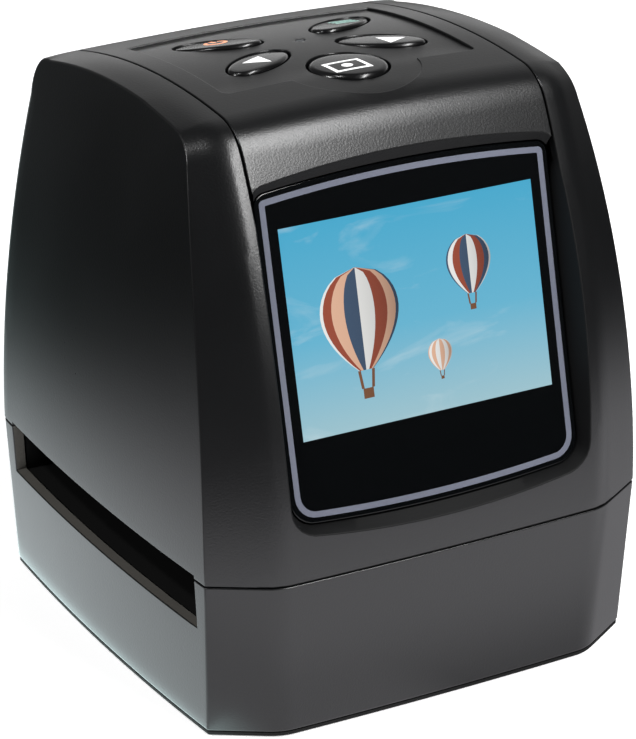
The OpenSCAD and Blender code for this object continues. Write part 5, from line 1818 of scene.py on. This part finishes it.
@dataclass(frozen=True)
class Buttons:
    """The push buttons with their printed signs."""

    deck: Deck
    gap: float = 0.35
    dome_r: float = 110.0
    round_r: float = 0.75
    scan_round_r: float = 1.0
    round_steps: int = 5
    face_scales: tuple[float, ...] = (0.85, 0.65, 0.45, 0.25)
    ring_points: int = 72
    flange_rim: float = 0.7
    flange_t: float = 0.6
    flange_gap: float = 0.15
    stem_r: float = 1.8
    stem_z: float = 100.3
    print_proud: float = 0.02
    print_t: float = 0.06
    print_cell: float = 0.8

    def face(self, key: Key, x: float, y: float) -> float:
        """Height of a button's face.

        Args:
            key: The button.
            x: Place from side to side.
            y: Place from front to back.

        Returns:
            The height.
        """
        o = self.deck.outline
        mx, my = key.middle
        base = o.wrap(mx, o.top_s(mx, my)).z - self.deck.depth + key.rise
        lean_x = -2 * o.top_bow * mx / o.kink_x**2
        lean_y = -(my - o.top_crest_y) / o.top_r - key.tilt
        cx, cy = mx + self.dome_r * lean_x, my + self.dome_r * lean_y
        middle = base - self.dome_r * math.sqrt(1 - lean_x**2 - lean_y**2)
        return middle + math.sqrt(self.dome_r**2 - (x - cx) ** 2 - (y - cy) ** 2)

    def flange_z(self, key: Key) -> float:
        """Height of the top of a button's flange, just under the lowest place of the cover over it.

        Args:
            key: The button.

        Returns:
            The height.
        """
        o = self.deck.outline
        t = math.radians(key.turn)
        reach = math.hypot((key.a + self.flange_rim) * math.sin(t), (key.b + self.flange_rim) * math.cos(t))
        x = abs(key.middle[0]) + key.a
        heights = [o.wrap(x, o.top_s(x, key.middle[1] + step), self.deck.wall).z for step in (-reach, reach)]
        return min(heights) - self.flange_gap

    def level(self, key: Key, a: float, b: float, z: float) -> list[Vector]:
        """Level ring of a button, given by its half axes and its height."""
        return [Vector((p.x, p.y, z)) for p in ellipse(key.middle, a, b, key.turn, self.ring_points)]

    def face_ring(self, key: Key, draw_in: float, height: float, scale: float = 1.0) -> list[Vector]:
        """Ring on a button's face, drawn in from its edge and then scaled, at a height over the face."""
        a, b = (axis - self.gap - draw_in for axis in (key.a, key.b))
        flat = ellipse(key.middle, a * scale, b * scale, key.turn, self.ring_points)
        return [Vector((p.x, p.y, self.face(key, p.x, p.y) + height)) for p in flat]

    def build(self) -> None:
        """Makes the buttons."""
        for key in KEYS:
            self.build_key(key)
            self.build_sign(key)

    def build_key(self, key: Key) -> None:
        """Makes one button: stem, flange, rounded edge and a faintly domed face.

        Args:
            key: The button.
        """
        r = self.round_r if key.name != "scan" else self.scan_round_r
        flange = self.flange_z(key)
        foot = flange - self.flange_t
        stem, rim = (self.stem_r, self.stem_r), (key.a + self.flange_rim, key.b + self.flange_rim)
        cap = (key.a - self.gap, key.b - self.gap)
        levels = [(*stem, self.stem_z), (*stem, foot), (*rim, foot), (*rim, flange), (*cap, flange)]
        rings = [self.level(key, a, b, z) for a, b, z in levels]
        turns = [math.pi / 2 * k / self.round_steps for k in range(self.round_steps + 1)]
        rings += [self.face_ring(key, r * (1 - math.cos(t)), -r * (1 - math.sin(t))) for t in turns]
        rings += [self.face_ring(key, r, 0.0, scale) for scale in self.face_scales]
        bm = bmesh.new()
        first, last = build_rings(bm, rings)
        bm.faces.new(last)
        bm.faces.new(list(reversed(first)))
        bmesh.ops.recalc_face_normals(bm, faces=bm.faces)
        place = Place(f"key_{key.name}", "button_gloss", (f"button_{key.name}",))
        finish_piece(bm, f"key_cap_{key.name}", BUTTON, place, sharp=50)

    def build_sign(self, key: Key) -> None:
        """Makes one button's sign: flat shapes, cut into cells so that they follow the button's face.

        Args:
            key: The button.
        """
        sign = SIGNS[key.name]
        x, y = key.middle[0] + sign.shift[0], key.middle[1] + sign.shift[1]
        bm = bmesh.new()
        for shape in sign.shapes:
            bm.faces.new([bm.verts.new((x + px, y + py, 0)) for px, py in shape])
        for axis in (Vector((1, 0, 0)), Vector((0, 1, 0))):
            reach = [v.co.dot(axis) for v in bm.verts]
            for place in spread(min(reach), max(reach), self.print_cell)[1:]:
                parts = [*bm.verts, *bm.edges, *bm.faces]
                bmesh.ops.bisect_plane(bm, geom=parts, plane_co=axis * place, plane_no=axis)
        for vert in bm.verts:
            vert.co.z = self.face(key, vert.co.x, vert.co.y) + self.print_proud
        bmesh.ops.dissolve_degenerate(bm, edges=bm.edges, dist=0.001)
        thicken(bm, Vector((0, 0, -self.print_t)))
        finish_piece(bm, f"sign_{key.name}", sign.finish, Place(f"key_{key.name}", "button_gloss"))


def bar(x0: float, x1: float, y: float, thick: float) -> list[Pair]:
    """A straight printed bar."""
    return [(x0, y - thick / 2), (x1, y - thick / 2), (x1, y + thick / 2), (x0, y + thick / 2)]


def arc_points(radius: float, start: float, end: float, count: int) -> list[Pair]:
    """Points along an arc round the middle, between two angles in degrees, both included."""
    angles = [math.radians(start + (end - start) * k / count) for k in range(count + 1)]
    return [(radius * math.cos(a), radius * math.sin(a)) for a in angles]


@dataclass(frozen=True)
class Sign:
    """A printed sign: its shapes, how far they are moved from the button's middle, and its ink, which carries a
    painted glow.
    """

    shapes: list[list[Pair]]
    shift: Pair
    finish: Finish


ARROW = [(-2.95, 0.25), (1.35, -2.35), (1.45, 2.9)]
DISC = arc_points(1.0, 0, 360, 24)[:-1]
POWER_RING = arc_points(2.11, 125, 415, 28) + arc_points(1.49, 415, 125, 28)
FRAME_BARS = [bar(-3.5, 3.5, y, 0.7) for y in (2.5, -2.5)] + [bar(x, x + 0.7, 0, 4.3) for x in (-3.5, 2.8)]
SIGNS = {
    "power": Sign([POWER_RING, bar(-0.31, 0.31, 1.3, 2.1)], (0.1, 1.0), GLOWING_PRINT_ORANGE),
    "menu": Sign([bar(-2.3, 2.3, y, 0.55) for y in (-1.4, 0, 1.4)], (1.2, 0.6), GLOWING_PRINT_GREEN),
    "up": Sign([ARROW], (0.0, 0.0), GLOWING_PRINT_WHITE),
    "down": Sign([[(-x, y) for x, y in ARROW]], (1.3, -1.2), GLOWING_PRINT_WHITE),
    "scan": Sign([*FRAME_BARS, DISC], (-0.9, -1.3), GLOWING_PRINT_WHITE),
}


# ---------- the pieces that keep their CAD shape ----------
class Works:
    """The inner works, sockets, feet and fasteners, which keep their CAD shape and get their finish."""

    def dress(self) -> None:
        """Gives each CAD node the finish of its slot."""
        for part in frame["record"]["subparts"]:
            piece = frame["nodes"][part["node"]]
            finish = SLOT_FINISHES[part["material_slot"]]
            if not piece.material_slots:
                piece.data.materials.append(None)
            for slot in piece.material_slots:
                slot.material = finish.material()
            LOG.info("%s wears %s", part["node"], finish.name)


# ---------- film detents ----------
@dataclass(frozen=True)
class DetentSprings:
    """The coil springs under the two film detents."""

    wire_r: float = 0.22
    turns: int = 5
    steps: int = 16
    facets: int = 8

    def build(self) -> None:
        """Makes both springs."""
        for side in ("left", "right"):
            self.build_spring(side)

    def build_spring(self, side: str) -> None:
        """Winds one spring in its CAD node's place.

        Args:
            side: The spring's side in the names of its node and joint.
        """
        node, joint = f"detent_spring_{side}", f"detent_{side}_press"
        low, high = (Vector(corner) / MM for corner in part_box(node))
        middle = (low + high) / 2
        radius = (high.x - low.x) / 2 - self.wire_r
        rise = high.z - low.z - 2 * self.wire_r
        start = Matrix.Translation((middle.x + radius, middle.y, low.z + self.wire_r))
        count = self.turns * self.steps
        bm = bmesh.new()
        bmesh.ops.create_circle(
            bm, segments=self.facets, radius=self.wire_r, matrix=start @ Matrix.Rotation(math.pi / 2, 4, "X"),
        )
        bmesh.ops.spin(
            bm, geom=[*bm.verts, *bm.edges], cent=middle, axis=(0, 0, 1), dvec=(0, 0, rise / count),
            angle=math.tau * self.turns, steps=count, use_merge=False,
        )
        bmesh.ops.holes_fill(bm, edges=bm.edges, sides=self.facets)
        bmesh.ops.recalc_face_normals(bm, faces=bm.faces)
        piece = finish_piece(bm, f"detent_coil_{side}", STEEL, Place(slot="spring_steel", nodes=(node,)))
        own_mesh(piece)


# ---------- studio ----------
def stand(piece: bpy.types.Object, right: Vector, back: Vector, place: Vector) -> None:
    """Puts a lamp or the camera at a place, given the ways to its right and behind it."""
    turn = Matrix((right, back.cross(right), back)).transposed()
    piece.matrix_world = Matrix.Translation(place) @ turn.to_4x4()
    bpy.context.scene.collection.objects.link(piece)


@dataclass(frozen=True)
class Lamp:
    """A rectangular soft lamp that looks at the scanner."""

    name: str
    place: tuple[float, float, float]
    across: float
    along: float
    radiance: float

    def build(self, target: Vector) -> None:
        """Adds the lamp, its long side in the plane through the vertical.

        Args:
            target: The place that it looks at.
        """
        data = bpy.data.lights.new(self.name, "AREA")
        data.shape = "RECTANGLE"
        data.size = self.across
        data.size_y = self.along
        data.energy = self.radiance * math.pi * self.across * self.along
        back = (Vector(self.place) - target).normalized()
        right = Vector((0, 1, 0)).cross(back).normalized()
        stand(bpy.data.objects.new(self.name, data), right, back, Vector(self.place))


STRIP_BOX = Lamp("strip_box", (0.25, -0.60, 0.68), 0.10, 0.90, 38.0)
CORNER_LAMP = Lamp("corner_lamp", (-0.74, 0.08, 0.42), 0.11, 0.11, 60.0)
RIM_LAMP = Lamp("rim_lamp", (-0.42, -0.08, 0.68), 0.06, 0.06, 110.0)


@dataclass(frozen=True)
class Paper:
    """Lit white sheet under the scanner: even to the eye, and brightest near the scanner in its sheen.

    A span says where a change starts and ends, along x, along y or as a distance.
    """

    white: float = 0.92
    middle: Pair = (0.04, -0.03)
    haze_span: Pair = (0.1, 0.45)
    near_glow: float = 0.62
    far_glow: float = 0.75
    near_span: Pair = (0.115, 0.26)
    near_shine: float = 1.25
    front_span: Pair = (-0.07, -0.04)
    front_shine: float = 1.3
    right_span: Pair = (-0.01, 0.03)
    right_shine: float = 0.62
    side_span: Pair = (-0.115, -0.05)
    side_shine: float = 0.60
    left_span: Pair = (-0.045, -0.03)
    behind_span: Pair = (-0.044, -0.036)
    line_span: Pair = (0.0005, 0.0025)
    line_shine: float = 2.6
    line_x: float = 0.0439
    line_crest_y: float = 0.0164
    line_bow: float = 0.97
    fill_span: Pair = (0.08, 0.24)
    fill_shine: float = 0.45
    fill_places: tuple[Pair, ...] = ((-0.42, -0.07), (0.05, 0.47))
    neutral: Colour = (0.97, 0.96, 1.0)
    cool: Colour = (0.74, 1.0, 0.99)

    def material(self) -> Material:
        """Makes the sheet's material."""
        made, shader = new_material("floor_paper")
        tree = made.node_tree
        tree.nodes.remove(shader)
        where = add_node(tree, "ShaderNodeTexCoord").outputs["Object"]
        parts = add_node(tree, "ShaderNodeSeparateXYZ", inputs={0: where})
        away = self.distance(tree, where, self.middle)
        paper = add_node(tree, "ShaderNodeBsdfDiffuse", inputs={"Color": (*[self.white] * 3, 1)})
        haze = soften(tree, away, self.haze_span, self.near_glow, self.far_glow)
        lit = self.add(tree, paper.outputs[0], self.emission(tree, (1, 1, 1), haze))
        neutral = self.emission(tree, self.neutral, self.sheen(tree, where, parts))
        shine = self.add(tree, neutral, self.emission(tree, self.cool, self.left_sheen(tree, parts)))
        glossy = add_node(tree, "ShaderNodeLightPath").outputs["Is Glossy Ray"]
        mixed = add_node(tree, "ShaderNodeMixShader", inputs={0: glossy, 1: lit, 2: shine})
        tree.links.new(mixed.outputs[0], tree.nodes["Material Output"].inputs["Surface"])
        return made

    @staticmethod
    def emission(tree: NodeTree, colour: Colour, strength: NodeSocket) -> NodeSocket:
        """Light of a colour and a changing strength."""
        light = {"Color": (*colour, 1), "Strength": strength}
        return add_node(tree, "ShaderNodeEmission", inputs=light).outputs[0]

    @staticmethod
    def add(tree: NodeTree, first: NodeSocket, second: NodeSocket) -> NodeSocket:
        """Two shaders together."""
        return add_node(tree, "ShaderNodeAddShader", inputs={0: first, 1: second}).outputs[0]

    @staticmethod
    def distance(tree: NodeTree, where: NodeSocket, place: Pair) -> NodeSocket:
        """Distance from a place of the sheet."""
        ends = {0: where, 1: (*place, 0)}
        return add_node(tree, "ShaderNodeVectorMath", {"operation": "DISTANCE"}, ends).outputs["Value"]

    def sheen(self, tree: NodeTree, where: NodeSocket, parts: Node) -> NodeSocket:
        """Neutral sheen of the sheet round the scanner, and of its pale patches further off.

        Args:
            tree: The sheet's nodes.
            where: The output that gives a place.
            parts: The node that gives the place's X and Y.

        Returns:
            The sheen's strength.
        """
        near = soften(tree, self.distance(tree, where, self.middle), self.near_span, self.near_shine, 0.0)
        front = soften(tree, parts.outputs["Y"], self.front_span, self.front_shine, self.right_shine)
        over = soften(tree, parts.outputs["X"], self.right_span, 1.0, 0.0)
        total = calculate(tree, "MULTIPLY", near, calculate(tree, "MAXIMUM", front, over))
        for place in self.fill_places:
            fill = soften(tree, self.distance(tree, where, place), self.fill_span, self.fill_shine, 0.0)
            total = calculate(tree, "ADD", total, fill)
        return total

    def left_sheen(self, tree: NodeTree, parts: Node) -> NodeSocket:
        """Strength of the cool sheen beside the scanner's left side and of the line along its foot."""
        side = soften(tree, parts.outputs["X"], self.side_span, 0.0, self.side_shine)
        left = soften(tree, parts.outputs["X"], self.left_span, 1.0, 0.0)
        behind = soften(tree, parts.outputs["Y"], self.behind_span, 0.0, 1.0)
        both = calculate(tree, "ADD", side, self.foot_line(tree, parts))
        return calculate(tree, "MULTIPLY", both, calculate(tree, "MULTIPLY", left, behind))

    def foot_line(self, tree: NodeTree, parts: Node) -> NodeSocket:
        """Strength of the bright line of paper along the foot of the scanner's left side."""
        off = calculate(tree, "SUBTRACT", parts.outputs["Y"], self.line_crest_y)
        square = calculate(tree, "MULTIPLY", off, off)
        bowed = calculate(tree, "MULTIPLY_ADD", square, self.line_bow, -self.line_x)
        out = calculate(tree, "SUBTRACT", bowed, parts.outputs["X"])
        return soften(tree, out, self.line_span, self.line_shine, 0.0)


@dataclass(frozen=True)
class Air:
    """The room round the scanner: dim, with a paler wall low behind it.

    The shades are the wall's, each with its height as a share of the way up.
    """

    shades: tuple[Pair, ...] = (
        (0.04, 1.3), (0.14, 0.5), (0.24, 0.32), (0.36, 0.44), (0.6, 0.48), (0.8, 0.4), (0.9, 0.2), (1.0, 0.1),
    )
    behind_span: Pair = (0.0, 0.55)
    behind_least: float = 0.02
    right_span: Pair = (0.05, 0.3)
    right_least: float = 0.2

    def world(self) -> bpy.types.World:
        """Makes the room."""
        world = bpy.data.worlds.new("studio_air")
        world.use_nodes = True
        tree = world.node_tree
        where = add_node(tree, "ShaderNodeTexCoord").outputs["Generated"]
        parts = add_node(tree, "ShaderNodeSeparateXYZ", inputs={0: where})
        wall = add_node(tree, "ShaderNodeValToRGB", inputs={"Fac": parts.outputs["Z"]})
        ramp = wall.color_ramp.elements
        ramp[0].position, ramp[1].position = self.shades[0][0], self.shades[-1][0]
        for place, _ in self.shades[1:-1]:
            ramp.new(place)
        for element, (_, shade) in zip(ramp, self.shades):
            element.color = (shade, shade, shade, 1)
        behind = soften(tree, parts.outputs["Y"], self.behind_span, self.behind_least, 1.0)
        rightwards = soften(tree, parts.outputs["X"], self.right_span, self.right_least, 1.0)
        back = tree.nodes["Background"]
        tree.links.new(wall.outputs[0], back.inputs["Color"])
        tree.links.new(calculate(tree, "MULTIPLY", behind, rightwards), back.inputs["Strength"])
        return world


@dataclass(frozen=True)
class Studio:
    """Pale floor, soft lamps, air and the camera, whose target and distance are in millimetres."""

    azimuth: float = 27.97
    elevation: float = 23.58
    roll: float = -0.6
    distance: float = 575.53
    target: tuple[float, float, float] = (0.47, 2.65, 44.96)
    focal: float = 156.17
    floor_half: float = 3.0
    lamp_target: tuple[float, float, float] = (0.0, 0.0, 0.05)
    lamps: tuple[Lamp, ...] = (STRIP_BOX, CORNER_LAMP, RIM_LAMP)

    def build(self) -> None:
        """Makes the floor, lamps, air and camera."""
        self.build_floor()
        for lamp in self.lamps:
            lamp.build(Vector(self.lamp_target))
        self.build_camera()
        bpy.context.scene.view_settings.view_transform = "Standard"
        bpy.context.scene.world = Air().world()

    def build_floor(self) -> None:
        """Makes the sheet of paper that the scanner stands on."""
        bm = bmesh.new()
        bmesh.ops.create_grid(bm, x_segments=1, y_segments=1, size=self.floor_half)
        mesh = bpy.data.meshes.new("floor")
        bm.to_mesh(mesh)
        bm.free()
        mesh.materials.append(Paper().material())
        floor = bpy.data.objects.new("floor", mesh)
        bpy.context.scene.collection.objects.link(floor)

    def build_camera(self) -> None:
        """Makes the camera, which looks down on the scanner's left front corner."""
        az, el, roll = (math.radians(v) for v in (self.azimuth, self.elevation, self.roll))
        back = Vector((-math.sin(az) * math.cos(el), -math.cos(az) * math.cos(el), math.sin(el)))
        level = Vector((math.cos(az), -math.sin(az), 0))
        right = level * math.cos(roll) + back.cross(level) * math.sin(roll)
        data = bpy.data.cameras.new("camera")
        data.lens = self.focal
        data.sensor_width = 36
        data.clip_start = 0.01
        camera = bpy.data.objects.new("camera", data)
        stand(camera, right, back, (Vector(self.target) + back * self.distance) * MM)
        bpy.context.scene.camera = camera


def main() -> None:
    """Builds the scanner's pieces in order."""
    logging.basicConfig(level=logging.INFO, format="%(name)s: %(message)s")
    outline = Outline()
    screen = Screen(outline)
    housing = Housing(outline, screen)
    Works().dress()
    DetentSprings().build()
    housing.build()
    screen.build()
    Buttons(Deck(outline, housing.wall)).build()
    Studio().build()


if __name__ == "__main__":
    main()
